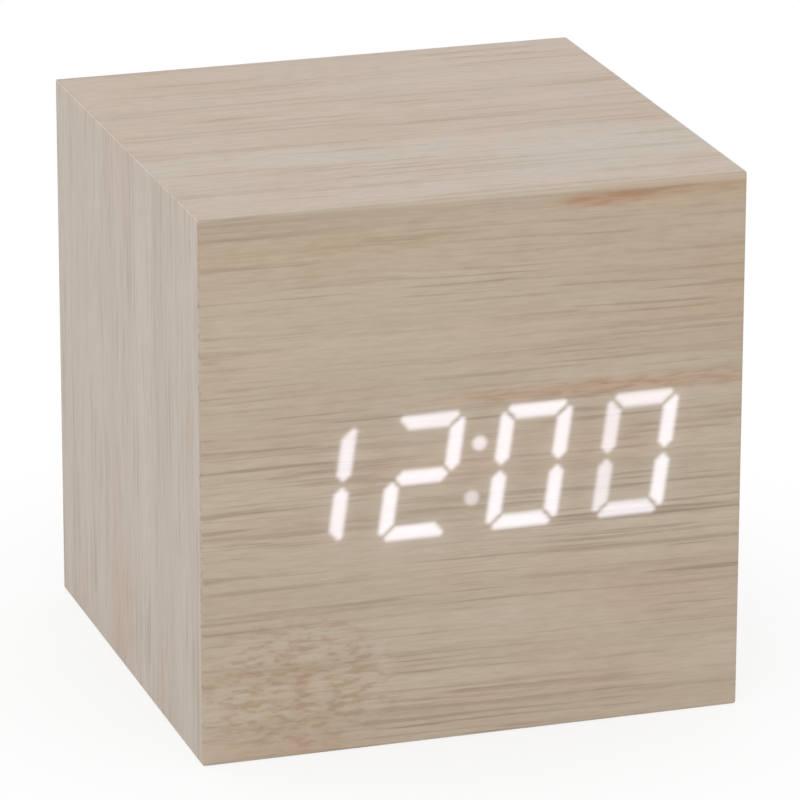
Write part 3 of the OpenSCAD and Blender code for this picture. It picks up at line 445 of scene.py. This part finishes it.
# a smooth line through the points; the numbers are those of a Catmull-Rom curve
def smoothed(points, steps):
    points = np.array([points[0], *points, points[-1]], float)
    line = []
    for a, b, c, d in zip(points, points[1:], points[2:], points[3:]):
        for t in np.linspace(0, 1, steps, endpoint=False):
            line.append(0.5 * (2 * b + (c - a) * t + (2 * a - 5 * b + 4 * c - d) * t ** 2
                               + (3 * b - a - 3 * c + d) * t ** 3))
    return [*line, points[-1]]


# Front veneer, with the time shining through it

timeDisplay = {
    "shown": "12:00", "middleHeight": 31.0,  # mm
    "digitHeight": 14.2, "digitWidth": 8.3, "digitPitch": 12.3,
    "stroke": 1.7, "segmentGap": 0.3, "cornerCut": 1.1,
    "dotDiameter": 1.7, "dotRise": 3.1,
    "lean": 8.0, "tilt": 0.2,  # degrees
    "shift": (0.05, -0.085),  # the row is set a little to the right and low, and rises to the right
    # the veneer rounds off the corners and spreads the light a little
    "cornerRadius": 0.38, "edgeInset": 0.035, "edgeSoftness": 0.13,
    "haloReach": 1.0, "haloShare": 0.085,  # a faint glow in the wood round it
    "lit": {"0": "abcdef", "1": "bc", "2": "abged"},
    # power of the weaker segments, by digit and letter
    "dimmer": {"0b": 0.89, "0c": 0.95, "1a": 0.93, "3a": 0.88, "3d": 0.88, "3e": 0.78, "3f": 0.84},
    "dots": (0.79, 0.56),  # upper, lower
    "attribute": "glow", "colour": "#eef0ff", "strength": 0.66, "strengthOverDark": 0.739,
}
veneer = {
    "cornerRadius": 0.3, "edgeRadius": 0.4, "roundSteps": 5, "smoothAngle": 40,  # mm, degrees
    "windowWidth": 50.0, "windowHeight": 17.0, "columns": 4, "rows": 2, "cuts": 79,
    "touching": 0.001, "facing": 0.99,  # mm; how squarely a face of the window looks forward
}


# outlines of the seven segments about the digit's middle, upright, in mm
def segmentOutlines(look):
    w, h, s = look["digitWidth"] / 2, look["digitHeight"] / 2, look["stroke"]
    m, c = look["segmentGap"] / math.sqrt(2), look["cornerCut"]  # set back at a mitre, and the cut corner
    half, far, near = w - s - m, (c + m) / 2, (c - m) / 2
    top = [(-w + c, h), (w - c, h), (w - far, h - near), (w - s - m, h - s), (-w + s + m, h - s),
           (-w + far, h - near)]
    side = [(-w, h - c), (-w + near, h - far), (-w + s, h - s - m), (-w + s, s / 2 + m), (-w + s / 2, m),
            (-w, s / 2 + m)]
    bar = [(-half - s / 2, 0), (-half, s / 2), (half, s / 2), (half + s / 2, 0), (half, -s / 2),
           (-half, -s / 2)]
    flips = {
        "a": (top, 1, 1), "d": (top, 1, -1), "g": (bar, 1, 1), "f": (side, 1, 1), "b": (side, -1, 1),
        "e": (side, 1, -1), "c": (side, -1, -1),
    }
    return {k: np.array([(x * sx, z * sz) for x, z in outline]) for k, (outline, sx, sz) in flips.items()}


# distance from each spot to the outline with its corners rounded, below zero inside
def distanceTo(outline, spots, radius):
    centre = outline.mean(axis=0)
    outward, offsets = [], []
    for a, b in zip(outline, np.roll(outline, -1, axis=0)):
        out = np.array([b[1] - a[1], a[0] - b[0]]) / np.linalg.norm(b - a)
        out = out if (a - centre) @ out > 0 else -out
        outward.append(out)
        offsets.append(a @ out - radius)
    # corners of the outline drawn in by the radius
    drawn = [
        np.linalg.solve(np.array([outward[i - 1], outward[i]]), np.array([offsets[i - 1], offsets[i]]))
        for i in range(len(outline))
    ]
    beyond = np.max([spots @ out - offset for out, offset in zip(outward, offsets)], axis=0)
    nearest = np.full(len(spots), np.inf)
    for a, b in zip(drawn, drawn[1:] + drawn[:1]):
        along = np.clip((spots - a) @ (b - a) / ((b - a) @ (b - a)), 0, 1)
        nearest = np.minimum(nearest, np.linalg.norm(spots - a - along[:, None] * (b - a), axis=1))
    return np.where(beyond > 0, nearest, beyond) - radius


# how brightly the time shines at each spot, from 0 to 1
def glowAt(spots, look):
    outlines = segmentOutlines(look)
    lean = math.tan(math.radians(look["lean"]))
    spots = spots - np.array(look["shift"])
    spots[:, 1] -= math.tan(math.radians(look["tilt"])) * spots[:, 0]
    upright = np.stack([spots[:, 0] - lean * spots[:, 1], spots[:, 1]], axis=1)
    lights = []
    digits = look["shown"].replace(":", "")
    for place, digit in enumerate(digits):
        centre = np.array([(place - (len(digits) - 1) / 2) * look["digitPitch"], 0])
        for key in look["lit"][digit]:
            away = distanceTo(outlines[key], upright - centre, look["cornerRadius"])
            lights.append((away, look["dimmer"].get(f"{place}{key}", 1.0)))
    for side, power in zip((1, -1), look["dots"]):
        dot = side * look["dotRise"] * np.array([lean, 1])
        lights.append((np.linalg.norm(spots - dot, axis=1) - look["dotDiameter"] / 2, power))
    total = np.zeros(len(spots))
    for away, power in lights:
        edge = (1 - np.tanh((away + look["edgeInset"]) / look["edgeSoftness"] / 2)) / 2
        halo = look["haloShare"] * np.exp(-np.maximum(away, 0) / look["haloReach"])
        total = np.maximum(total, power * np.maximum(edge, halo))
    return total


touching = veneer["touching"] * mm
low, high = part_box("front_veneer")
sheet = startBlock("front_veneer_sheet", low, high)
weights = sheet.data.attributes.new("bevel_weight_edge", "FLOAT", "EDGE").data
for edge, weight in zip(sheet.data.edges, weights):
    a, b = (sheet.data.vertices[i].co for i in edge.vertices)
    if abs(b.y - a.y) > touching:
        weight.value = veneer["cornerRadius"] / veneer["edgeRadius"]
    elif abs(a.y - low.y) < touching:
        weight.value = 1.0
eased = sheet.modifiers.new("eased", "BEVEL")
eased.limit_method = "WEIGHT"
eased.width, eased.segments = veneer["edgeRadius"] * mm, veneer["roundSteps"]
bpy.ops.object.modifier_apply(modifier="eased")

# a fine grid over the window carries the light
bpy.ops.object.mode_set(mode="EDIT")
halfW, halfH = veneer["windowWidth"] / 2 * mm, veneer["windowHeight"] / 2 * mm
midZ = timeDisplay["middleHeight"] * mm
for x in np.linspace(-halfW, halfW, veneer["columns"] + 1):
    bpy.ops.mesh.select_all(action="SELECT")
    bpy.ops.mesh.bisect(plane_co=(x, 0, 0), plane_no=(1, 0, 0))
for z in np.linspace(midZ - halfH, midZ + halfH, veneer["rows"] + 1):
    bpy.ops.mesh.select_all(action="SELECT")
    bpy.ops.mesh.bisect(plane_co=(0, 0, z), plane_no=(0, 0, 1))
pickFaces(lambda mid, out: -out.y > veneer["facing"] and abs(mid.x) < halfW and abs(mid.z - midZ) < halfH)
bpy.ops.mesh.subdivide(number_cuts=veneer["cuts"])
bpy.ops.object.mode_set(mode="OBJECT")
corners = np.zeros(len(sheet.data.vertices) * 3)
sheet.data.vertices.foreach_get("co", corners)
corners = corners.reshape(-1, 3)
onFront = np.abs(corners[:, 1] - low.y) < touching
glow = glowAt(np.stack([corners[:, 0], corners[:, 2] - midZ], axis=1) / mm, timeDisplay) * onFront
sheet.data.attributes.new(timeDisplay["attribute"], "FLOAT", "POINT").data.foreach_set("value", glow)

# the flat faces stay flat beside their eased edges
bpy.ops.object.shade_smooth_by_angle(angle=math.radians(veneer["smoothAngle"]))
flats = sheet.modifiers.new("flats", "WEIGHTED_NORMAL")
flats.keep_sharp = True
bpy.ops.object.modifier_apply(modifier="flats")
litBamboo = bambooMaterial("bamboo veneer, lit from behind", boards["front"], timeDisplay)
sheet.data.materials.append(litBamboo)
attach(sheet, "case")
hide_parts("front_veneer")
print("veneer made:", len(sheet.data.polygons), "faces")


# Plain finishes: colour and gloss drift in patches, over a fine relief. Sizes in mm.

finishes = {
    "pressed fibreboard": {  # short matted fibres, dull and slightly hairy
        "colours": ("#8a6c4b", "#a98a64"), "patch": 0.5, "roughness": (0.75, 0.9), "ior": 1.5,
        "relief": 0.05, "reliefPatch": 0.25, "nodes": ("front_board", "upper_batten", "lower_batten"),
    },
    # the even pebbling of an eroded mould, with soft broad highlights; its pits of about 0.1 mm are
    # drawn at 0.3 mm to show
    "spark-textured ABS": {
        "colours": ("#1b1b1c", "#222223"), "patch": 6.0, "roughness": (0.48, 0.60), "ior": 1.54,
        "relief": 0.05, "reliefPatch": 0.30, "nodes": ("battery_door", "door_catch"),
    },
    "spark-textured ABS with inked marks": {  # the same, its raised marks touched in with grey ink
        "colours": ("#1b1b1c", "#222223"), "patch": 6.0, "roughness": (0.48, 0.60), "ior": 1.54,
        "relief": 0.05, "reliefPatch": 0.30, "ink": ("#abacaa", "#bbbcba"), "inkFrom": 28.75,
        "nodes": ("back_panel",),
    },
    "satin moulded ABS": {  # smoother than the panel round it
        "colours": ("#262627", "#303031"), "patch": 3.0, "roughness": (0.30, 0.42), "ior": 1.54,
        "relief": 0.01, "reliefPatch": 0.6, "nodes": ("button_set", "button_up", "button_down"),
    },
    "moulded grey nylon": {  # waxy, with a soft even sheen
        "colours": ("#5c5d5f", "#6a6b6d"), "patch": 1.5, "roughness": (0.45, 0.6), "ior": 1.53,
        "relief": 0.01, "reliefPatch": 0.4, "nodes": ("plunger_set", "plunger_up", "plunger_down"),
    },
    "pressed tinned steel": {  # a thin bright cover, clouded where the press drew it
        "colours": ("#8f9092", "#a5a6a8"), "patch": 1.2, "roughness": (0.28, 0.45), "metallic": 1,
        "relief": 0.004, "reliefPatch": 0.3, "nodes": ("switch_set", "switch_up", "switch_down"),
    },
    "zinc-plated screw steel": {  # bluish bright plating, duller in patches
        "colours": ("#85878a", "#a2a4a6"), "patch": 0.8, "roughness": (0.25, 0.45), "metallic": 1,
        "relief": 0.006, "reliefPatch": 0.2,
        "nodes": ("panel_screws", "key_board_screws", "board_screws"),
    },
    "bright nickel plate": {  # a warm mirror, faintly rippled
        "colours": ("#a8a39a", "#bdb8ae"), "patch": 1.5, "roughness": (0.16, 0.32), "metallic": 1,
        "relief": 0.003, "reliefPatch": 0.15,
        "nodes": ("socket_shell", "microphone", "crystal", "board_spacers"),
    },
    "nickel-plated spring steel": {  # drawn wire and strip, bright with smeared reflections
        "colours": ("#9d9a94", "#b3b0a9"), "patch": 2.0, "roughness": (0.20, 0.38), "metallic": 1,
        "relief": 0.004, "reliefPatch": 0.25,
        "nodes": ("plus_contact", "minus_contact", "left_bridge", "right_bridge"),
    },
    "glass-filled black nylon": {  # glass fibres at the skin speckle it and break its shine
        "colours": ("#151516", "#1e1e1f"), "patch": 0.6, "roughness": (0.5, 0.65), "ior": 1.53,
        "relief": 0.01, "reliefPatch": 0.2, "nodes": ("socket_tongue", "buzzer"),
    },
    "white reflector polycarbonate": {  # chalky white that throws the light forward
        "colours": ("#e6e6e2", "#f0f0ec"), "patch": 4.0, "roughness": (0.42, 0.55), "ior": 1.58,
        "relief": 0.01, "reliefPatch": 0.5, "nodes": ("display_housing", "ribbon_headers"),
    },
    "milky epoxy resin": {  # cloudy, with the slow waves of a poured surface
        "colours": ("#dfe2e4", "#eceef0"), "patch": 1.0, "roughness": (0.25, 0.4), "ior": 1.55,
        "relief": 0.02, "reliefPatch": 0.4, "nodes": ("segment_lenses",),
    },
    "phosphor-coated chip": {  # yellow powder set in resin, mottled and dull
        "colours": ("#c9b24a", "#dccb74"), "patch": 0.4, "roughness": (0.5, 0.7), "ior": 1.55,
        "relief": 0.01, "reliefPatch": 0.15, "nodes": ("light_chips",),
    },
    "tinned brass pin": {  # warm grey, with the brass close under the tin
        "colours": ("#a59c86", "#b9b2a0"), "patch": 0.5, "roughness": (0.25, 0.45), "metallic": 1,
        "relief": 0.004, "reliefPatch": 0.2, "nodes": ("display_pins",),
    },
    "dipped grey epoxy": {  # a set drop with a wet shine
        "colours": ("#30343a", "#3e434a"), "patch": 0.6, "roughness": (0.25, 0.4), "ior": 1.55,
        "relief": 0.02, "reliefPatch": 0.6, "nodes": ("temperature_sensor",),
    },
    "extruded red PVC": {  # the soft skin of a lead, slightly shiny
        "colours": ("#9c2c24", "#b23a30"), "patch": 1.5, "roughness": (0.35, 0.5), "ior": 1.54,
        "relief": 0.01, "reliefPatch": 0.5, "nodes": (),
    },
    "extruded black PVC": {  # the same skin, where only the shine shows
        "colours": ("#1a1a1b", "#242425"), "patch": 1.5, "roughness": (0.35, 0.5), "ior": 1.54,
        "relief": 0.01, "reliefPatch": 0.5, "nodes": (),
    },
}

drift = (0.3, 0.7)  # the part of a noise's range that the plain finishes take up
patchDetail, gritDetail, bumpStrength = 3, 2, 0.5
coats = {}
for name, look in finishes.items():
    coats[name], tree = startMaterial(name)
    spot = addNode(tree, "TexCoord").outputs["Object"]
    patch = addNode(tree, "TexNoise", {
        "Vector": spot, "Scale": 1 / (look["patch"] * mm), "Detail": patchDetail,
    })
    colour = addNode(tree, "ValToRGB", {0: patch}, stops=zip(drift, look["colours"]))
    if "ink" in look:
        ink = addNode(tree, "ValToRGB", {0: patch}, stops=zip(drift, look["ink"]))
        deep = addNode(tree, "SeparateXYZ", {0: spot}).outputs[1]
        raised = addNode(tree, "Math", {0: deep, 1: look["inkFrom"] * mm}, operation="GREATER_THAN")
        colour = addNode(tree, "Mix", {0: raised, 6: colour, 7: ink}, data_type="RGBA")
    gloss = addNode(tree, "MapRange", {
        "Value": patch, "From Min": drift[0], "From Max": drift[1],
        "To Min": look["roughness"][0], "To Max": look["roughness"][1],
    })
    grit = addNode(tree, "TexNoise", {
        "Vector": spot, "Scale": 1 / (look["reliefPatch"] * mm), "Detail": gritDetail,
    })
    skin = addNode(tree, "Bump", {
        "Height": grit, "Strength": bumpStrength, "Distance": look["relief"] * mm,
    })
    sockets = {"Base Color": colour, "Roughness": gloss, "Normal": skin}
    sockets.update({"Metallic": 1} if "metallic" in look else {"IOR": look["ior"]})
    surface = addNode(tree, "BsdfPrincipled", sockets)
    addNode(tree, "OutputMaterial", {"Surface": surface})
    dress(coats[name], *look["nodes"])
print("plain finishes set:", len(coats))


# Circuit boards: a glossy green skin, paler over the copper tracks that lift it, with bright tinned
# holes

circuit = {
    "mask": "#1c5237", "maskDark": "#184a31", "track": "#2a6a49", "tin": "#a9a9a4",
    "trackRun": 4.2, "trackPitch": 1.3, "trackWidth": 0.16, "trackRise": 0.03,  # mm
    "trackSoftness": 0.3, "turn": -90,  # degrees, so that the pattern lies in the board's plane
    "holePitch": 3.1, "holeRadius": 0.32, "roughness": 0.32,
}
solderMask, tree = startMaterial("solder-masked glass epoxy")
plan = addNode(tree, "Mapping", {
    "Vector": addNode(tree, "TexCoord").outputs["Object"],
    "Rotation": (math.radians(circuit["turn"]), 0, 0), "Scale": (1 / mm,) * 3,
})
tracks = addNode(tree, "TexBrick", {
    "Vector": plan, "Color1": circuit["mask"], "Color2": circuit["maskDark"], "Mortar": circuit["track"],
    "Scale": 1.0, "Mortar Size": circuit["trackWidth"], "Mortar Smooth": circuit["trackSoftness"],
    "Brick Width": circuit["trackRun"], "Row Height": circuit["trackPitch"],
})
through = addNode(tree, "VectorMath", {0: plan, 1: (1, 1, 0)}, operation="MULTIPLY")
holes = addNode(tree, "TexVoronoi", {"Vector": through, "Scale": 1 / circuit["holePitch"]})
tinned = addNode(tree, "Math", {
    0: holes.outputs["Distance"], 1: circuit["holeRadius"] / circuit["holePitch"],
}, operation="LESS_THAN")
coat = addNode(tree, "Mix", {0: tinned, 6: tracks, 7: circuit["tin"]}, data_type="RGBA")
skin = addNode(tree, "Bump", {
    "Height": tracks.outputs["Fac"], "Strength": bumpStrength, "Distance": circuit["trackRise"] * mm,
})
surface = addNode(tree, "BsdfPrincipled", {
    "Base Color": coat, "Metallic": tinned, "Roughness": circuit["roughness"], "Normal": skin,
})
addNode(tree, "OutputMaterial", {"Surface": surface})
dress(solderMask, "main_board", "key_board", "display_base")


# Controller chip: a dull body, pitted and uneven from its mould, and tinned legs beyond its long
# sides

chip = {
    "middle": 31.0, "bodyHalf": 3.76, "patch": 0.6, "pit": 0.2, "pitDepth": 0.02,  # mm
    "body": ("#202022", "#28282a"), "leg": "#a8a9a8", "roughness": (0.62, 0.3),
}
chipMoulding, tree = startMaterial("moulded epoxy with tinned legs")
spot = addNode(tree, "TexCoord").outputs["Object"]
high = addNode(tree, "SeparateXYZ", {0: spot}).outputs[2]
away = addNode(tree, "Math", {0: high, 1: chip["middle"] * mm}, operation="SUBTRACT")
away = addNode(tree, "Math", {0: away}, operation="ABSOLUTE")
leg = addNode(tree, "Math", {0: away, 1: chip["bodyHalf"] * mm}, operation="GREATER_THAN")
patch = addNode(tree, "TexNoise", {
    "Vector": spot, "Scale": 1 / (chip["patch"] * mm), "Detail": patchDetail,
})
body = addNode(tree, "ValToRGB", {0: patch}, stops=zip(drift, chip["body"]))
coat = addNode(tree, "Mix", {0: leg, 6: body, 7: chip["leg"]}, data_type="RGBA")
gloss = addNode(tree, "MapRange", {
    "Value": leg, "To Min": chip["roughness"][0], "To Max": chip["roughness"][1],
})
pits = addNode(tree, "TexNoise", {"Vector": spot, "Scale": 1 / (chip["pit"] * mm), "Detail": gritDetail})
skin = addNode(tree, "Bump", {
    "Height": pits, "Strength": bumpStrength, "Distance": chip["pitDepth"] * mm,
})
surface = addNode(tree, "BsdfPrincipled", {
    "Base Color": coat, "Metallic": leg, "Roughness": gloss, "Normal": skin,
})
addNode(tree, "OutputMaterial", {"Surface": surface})
dress(chipMoulding, "controller_chip")


# Cells: shrunk printed film, glossy and lightly scuffed along its length, with a band at the plus end
# and bare steel at both ends

cell = {
    "low": -20.7, "high": 23.8, "metalLow": -20.55, "metalHigh": 22.85,  # mm
    "bandFrom": 16.0, "lineWidth": 0.7,
    "sleeve": "#4b5f73", "line": "#d5d8d8", "band": "#8fa0ac", "steel": "#a6a7a8",
    "scuff": (7.0, 0.35), "scuffShade": ("#e4e5e6", "#ffffff"),
    "wave": 1.5, "waveDepth": 0.004, "waveDetail": 1,
    "roughness": (0.22, 0.36), "ways": {"cell_1": 1, "cell_2": -1, "cell_3": 1},  # head to tail
}
span = cell["high"] - cell["low"]
at = {k: (cell[k] - cell["low"]) / span for k in ("metalLow", "metalHigh", "bandFrom")}
for name, way in cell["ways"].items():
    sleeve, tree = startMaterial(f"printed cell sleeve, {name}")
    spot = addNode(tree, "TexCoord").outputs["Object"]
    along = addNode(tree, "Math", {
        0: addNode(tree, "SeparateXYZ", {0: spot}).outputs[0], 1: way / mm,
    }, operation="MULTIPLY")
    share = addNode(tree, "MapRange", {"Value": along, "From Min": cell["low"], "From Max": cell["high"]})
    film = addNode(tree, "ValToRGB", {0: share}, stops=[
        (0.0, cell["steel"]), (at["metalLow"], cell["sleeve"]), (at["bandFrom"], cell["line"]),
        (at["bandFrom"] + cell["lineWidth"] / span, cell["band"]), (at["metalHigh"], cell["steel"]),
    ])
    film.color_ramp.interpolation = "CONSTANT"
    inside = addNode(tree, "Math", {0: along, 1: cell["metalHigh"]}, operation="LESS_THAN")
    above = addNode(tree, "Math", {0: along, 1: cell["metalLow"]}, operation="GREATER_THAN")
    printed = addNode(tree, "Math", {0: inside, 1: above}, operation="MULTIPLY")
    bare = addNode(tree, "Math", {0: 1.0, 1: printed}, operation="SUBTRACT")
    length, width = cell["scuff"]
    drawn = addNode(tree, "Mapping", {
        "Vector": spot, "Scale": (1 / (length * mm), 1 / (width * mm), 1 / (width * mm)),
    })
    scuffs = addNode(tree, "TexNoise", {"Vector": drawn, "Scale": 1.0, "Detail": gritDetail})
    shade = addNode(tree, "ValToRGB", {0: scuffs}, stops=zip(drift, cell["scuffShade"]))
    coat = addNode(tree, "Mix", {0: 1.0, 6: film, 7: shade}, data_type="RGBA", blend_type="MULTIPLY")
    gloss = addNode(tree, "MapRange", {
        "Value": scuffs, "From Min": drift[0], "From Max": drift[1],
        "To Min": cell["roughness"][1], "To Max": cell["roughness"][0],
    })
    waves = addNode(tree, "TexNoise", {
        "Vector": spot, "Scale": 1 / (cell["wave"] * mm), "Detail": cell["waveDetail"],
    })
    skin = addNode(tree, "Bump", {
        "Height": waves, "Strength": bumpStrength, "Distance": cell["waveDepth"] * mm,
    })
    surface = addNode(tree, "BsdfPrincipled", {
        "Base Color": coat, "Metallic": bare, "Roughness": gloss, "Normal": skin,
    })
    addNode(tree, "OutputMaterial", {"Surface": surface})
    dress(sleeve, name)
print("boards, chip and cells dressed")


# Contact springs: one is wound, and the other two are copies of it, lifted or turned

contactSpring = {
    "wire": 0.6, "baseRadius": 3.5, "tipRadius": 1.8, "length": 3.6, "endGap": 0.05, "turns": 2.25,  # mm
    "stepsPerTurn": 36, "plateX": -24.3, "cellY": 21.5, "cellZ": 15.2,
    # name, lift (mm), turn (degrees)
    "copies": [("contact_spring_2", 11.2, 180), ("contact_spring_3", 22.4, 0)],
}
wire, steps = contactSpring["wire"], round(contactSpring["turns"] * contactSpring["stepsPerTurn"])
rings = [(0, contactSpring["baseRadius"], 0)]  # how far along, radius, angle
for t in np.linspace(0, 1, steps + 1):
    rings.append((
        wire + t * (contactSpring["length"] - 2 * wire),
        contactSpring["baseRadius"] + t * (contactSpring["tipRadius"] - contactSpring["baseRadius"]),
        t * 2 * math.pi * contactSpring["turns"],
    ))
rings.append((contactSpring["length"] - contactSpring["endGap"], *rings[-1][1:]))
start = np.array([contactSpring["plateX"], contactSpring["cellY"], contactSpring["cellZ"]])
coil = [start + (along, r * math.cos(a), r * math.sin(a)) for along, r, a in rings]
wound = tube("contact_spring_1_wire", coil, wire)
wound.data.materials.append(coats["nickel-plated spring steel"])
springs = {"contact_spring_1": wound}
for name, lift, turned in contactSpring["copies"]:
    deselect()
    wound.select_set(True)
    bpy.context.view_layer.objects.active = wound
    bpy.ops.object.duplicate()
    piece = bpy.context.object
    piece.name = piece.data.name = name + "_wire"
    if turned:
        middle = (0, contactSpring["cellY"] * mm, 0)
        bpy.ops.transform.rotate(value=math.radians(turned), orient_axis="Z", center_override=middle)
    bpy.ops.transform.translate(value=(0, 0, lift * mm))
    bpy.ops.object.transform_apply(location=True, rotation=True, scale=True)
    springs[name] = piece
for name, piece in springs.items():
    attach(piece, "case")
    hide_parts(name)
print("springs wound:", len(springs))


# Leads from the end contacts to the main board

lead = {
    "diameter": 1.2, "straight": 1.6, "tailX": 24.5, "tailY": 13.1, "floorY": 14.6,  # mm
    "boardX": 22.0, "boardY": 19.8, "boardZ": 49.25, "smoothing": 10,
    # node, side, height, slot, finish, and each bend: how far in from the tail, how far out from the
    # tray's floor, share of the way up
    "routes": [
        ("plus_lead", 1, 15.2, "lead_red", "extruded red PVC", [
            (0.5, 4.6, 0.05), (1, 5.1, 0.2), (1.5, 4.6, 0.43), (2, 4.1, 0.67), (2.5, 3.6, 0.85),
            (2.5, 1.6, 0.93), (2.5, -1.4, 0.99)]),
        ("minus_lead", -1, 37.6, "lead_black", "extruded black PVC", [
            (0.5, 4.4, 0.12), (1, 4.6, 0.38), (1.5, 3.6, 0.68), (2, 1.1, 0.89), (2.5, -1.4, 0.98)]),
    ],
}
straight = np.array([0, lead["straight"], 0])
for name, side, height, slot, finish, bends in lead["routes"]:
    first = np.array([side * lead["tailX"], lead["tailY"], height])
    last = np.array([side * lead["boardX"], lead["boardY"], lead["boardZ"]])
    through = [(first[0] - side * inward, lead["floorY"] - out, height + share * (last[2] - height))
               for inward, out, share in bends]
    route = smoothed([first, first - straight, *through, last - straight, last], lead["smoothing"])
    piece = tube(name + "_wire", route, lead["diameter"])
    piece.data.materials.append(coats[finish])
    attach(piece, "case")
    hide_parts(name)
print("leads laid")


# Ribbon cable: matt grey PVC, ribbed by its cores, with a red first core

ribbon = {
    "width": 10.0, "thickness": 0.9, "cores": 10, "stepsPerCore": 8, "stepsAlong": 60,  # mm
    "start": (-16.3, 44.0), "end": (16.8, 49.25), "sag": 5.0,
    "valley": 0.45, "smoothAngle": 50,  # share of the thickness left between cores; degrees
    "firstCore": "#a03a32", "grey": "#8c8d8e", "shade": ("#e2e2e2", "#ffffff"),
    "patch": 2.5, "relief": 0.01, "roughness": (0.38, 0.52), "ior": 1.54,
}
deselect()
columns = ribbon["cores"] * ribbon["stepsPerCore"]
bpy.ops.mesh.primitive_grid_add(x_subdivisions=columns, y_subdivisions=ribbon["stepsAlong"], size=1)
cable = bpy.context.object
cable.name = cable.data.name = "ribbon_cable_web"
flat = np.zeros(len(cable.data.vertices) * 3)
cable.data.vertices.foreach_get("co", flat)
over, along = flat.reshape(-1, 3)[:, 0] + 0.5, flat.reshape(-1, 3)[:, 1] + 0.5
(startY, startZ), (endY, endZ) = ribbon["start"], ribbon["end"]
rise = (endZ - startZ) * along ** 2 * (3 - 2 * along)
sag = ribbon["sag"] * (4 * along * (1 - along)) ** 2
laid = np.column_stack([
    (over - 0.5) * ribbon["width"], startY + along * (endY - startY), startZ + rise - sag,
])
cable.data.vertices.foreach_set("co", (laid * mm).ravel())
# each core is a round rib, and the web between two cores is thinner
core = (over * ribbon["cores"]) % 1
rib = ribbon["valley"] + (1 - ribbon["valley"]) * np.sqrt(np.clip(1 - (2 * core - 1) ** 2, 0, 1))
thick = cable.vertex_groups.new(name="ribs")
for i, weight in enumerate(rib):
    thick.add([i], float(weight), "REPLACE")
shell = cable.modifiers.new("ribs", "SOLIDIFY")
shell.thickness, shell.offset, shell.vertex_group = ribbon["thickness"] * mm, 0, "ribs"
bpy.ops.object.modifier_apply(modifier="ribs")
bpy.ops.object.mode_set(mode="EDIT")
bpy.ops.mesh.select_all(action="SELECT")
bpy.ops.mesh.normals_make_consistent(inside=False)
bpy.ops.object.mode_set(mode="OBJECT")
bpy.ops.object.shade_smooth_by_angle(angle=math.radians(ribbon["smoothAngle"]))

ribbonPvc, tree = startMaterial("extruded grey ribbon PVC")
spot = addNode(tree, "TexCoord").outputs["Object"]
side = addNode(tree, "MapRange", {
    "Value": addNode(tree, "SeparateXYZ", {0: spot}).outputs[0],
    "From Min": -ribbon["width"] / 2 * mm, "From Max": ribbon["width"] / 2 * mm,
})
stripe = addNode(tree, "ValToRGB", {0: side}, stops=[
    (0.0, ribbon["firstCore"]), (1 / ribbon["cores"], ribbon["grey"]),
])
stripe.color_ramp.interpolation = "CONSTANT"
patch = addNode(tree, "TexNoise", {
    "Vector": spot, "Scale": 1 / (ribbon["patch"] * mm), "Detail": patchDetail,
})
shade = addNode(tree, "ValToRGB", {0: patch}, stops=zip(drift, ribbon["shade"]))
coat = addNode(tree, "Mix", {0: 1.0, 6: stripe, 7: shade}, data_type="RGBA", blend_type="MULTIPLY")
gloss = addNode(tree, "MapRange", {
    "Value": patch, "From Min": drift[0], "From Max": drift[1],
    "To Min": ribbon["roughness"][0], "To Max": ribbon["roughness"][1],
})
skin = addNode(tree, "Bump", {
    "Height": patch, "Strength": bumpStrength, "Distance": ribbon["relief"] * mm,
})
surface = addNode(tree, "BsdfPrincipled", {
    "Base Color": coat, "Roughness": gloss, "IOR": ribbon["ior"], "Normal": skin,
})
addNode(tree, "OutputMaterial", {"Surface": surface})
cable.data.materials.append(ribbonPvc)
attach(cable, "case")
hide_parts("ribbon_cable")
print("ribbon laid")
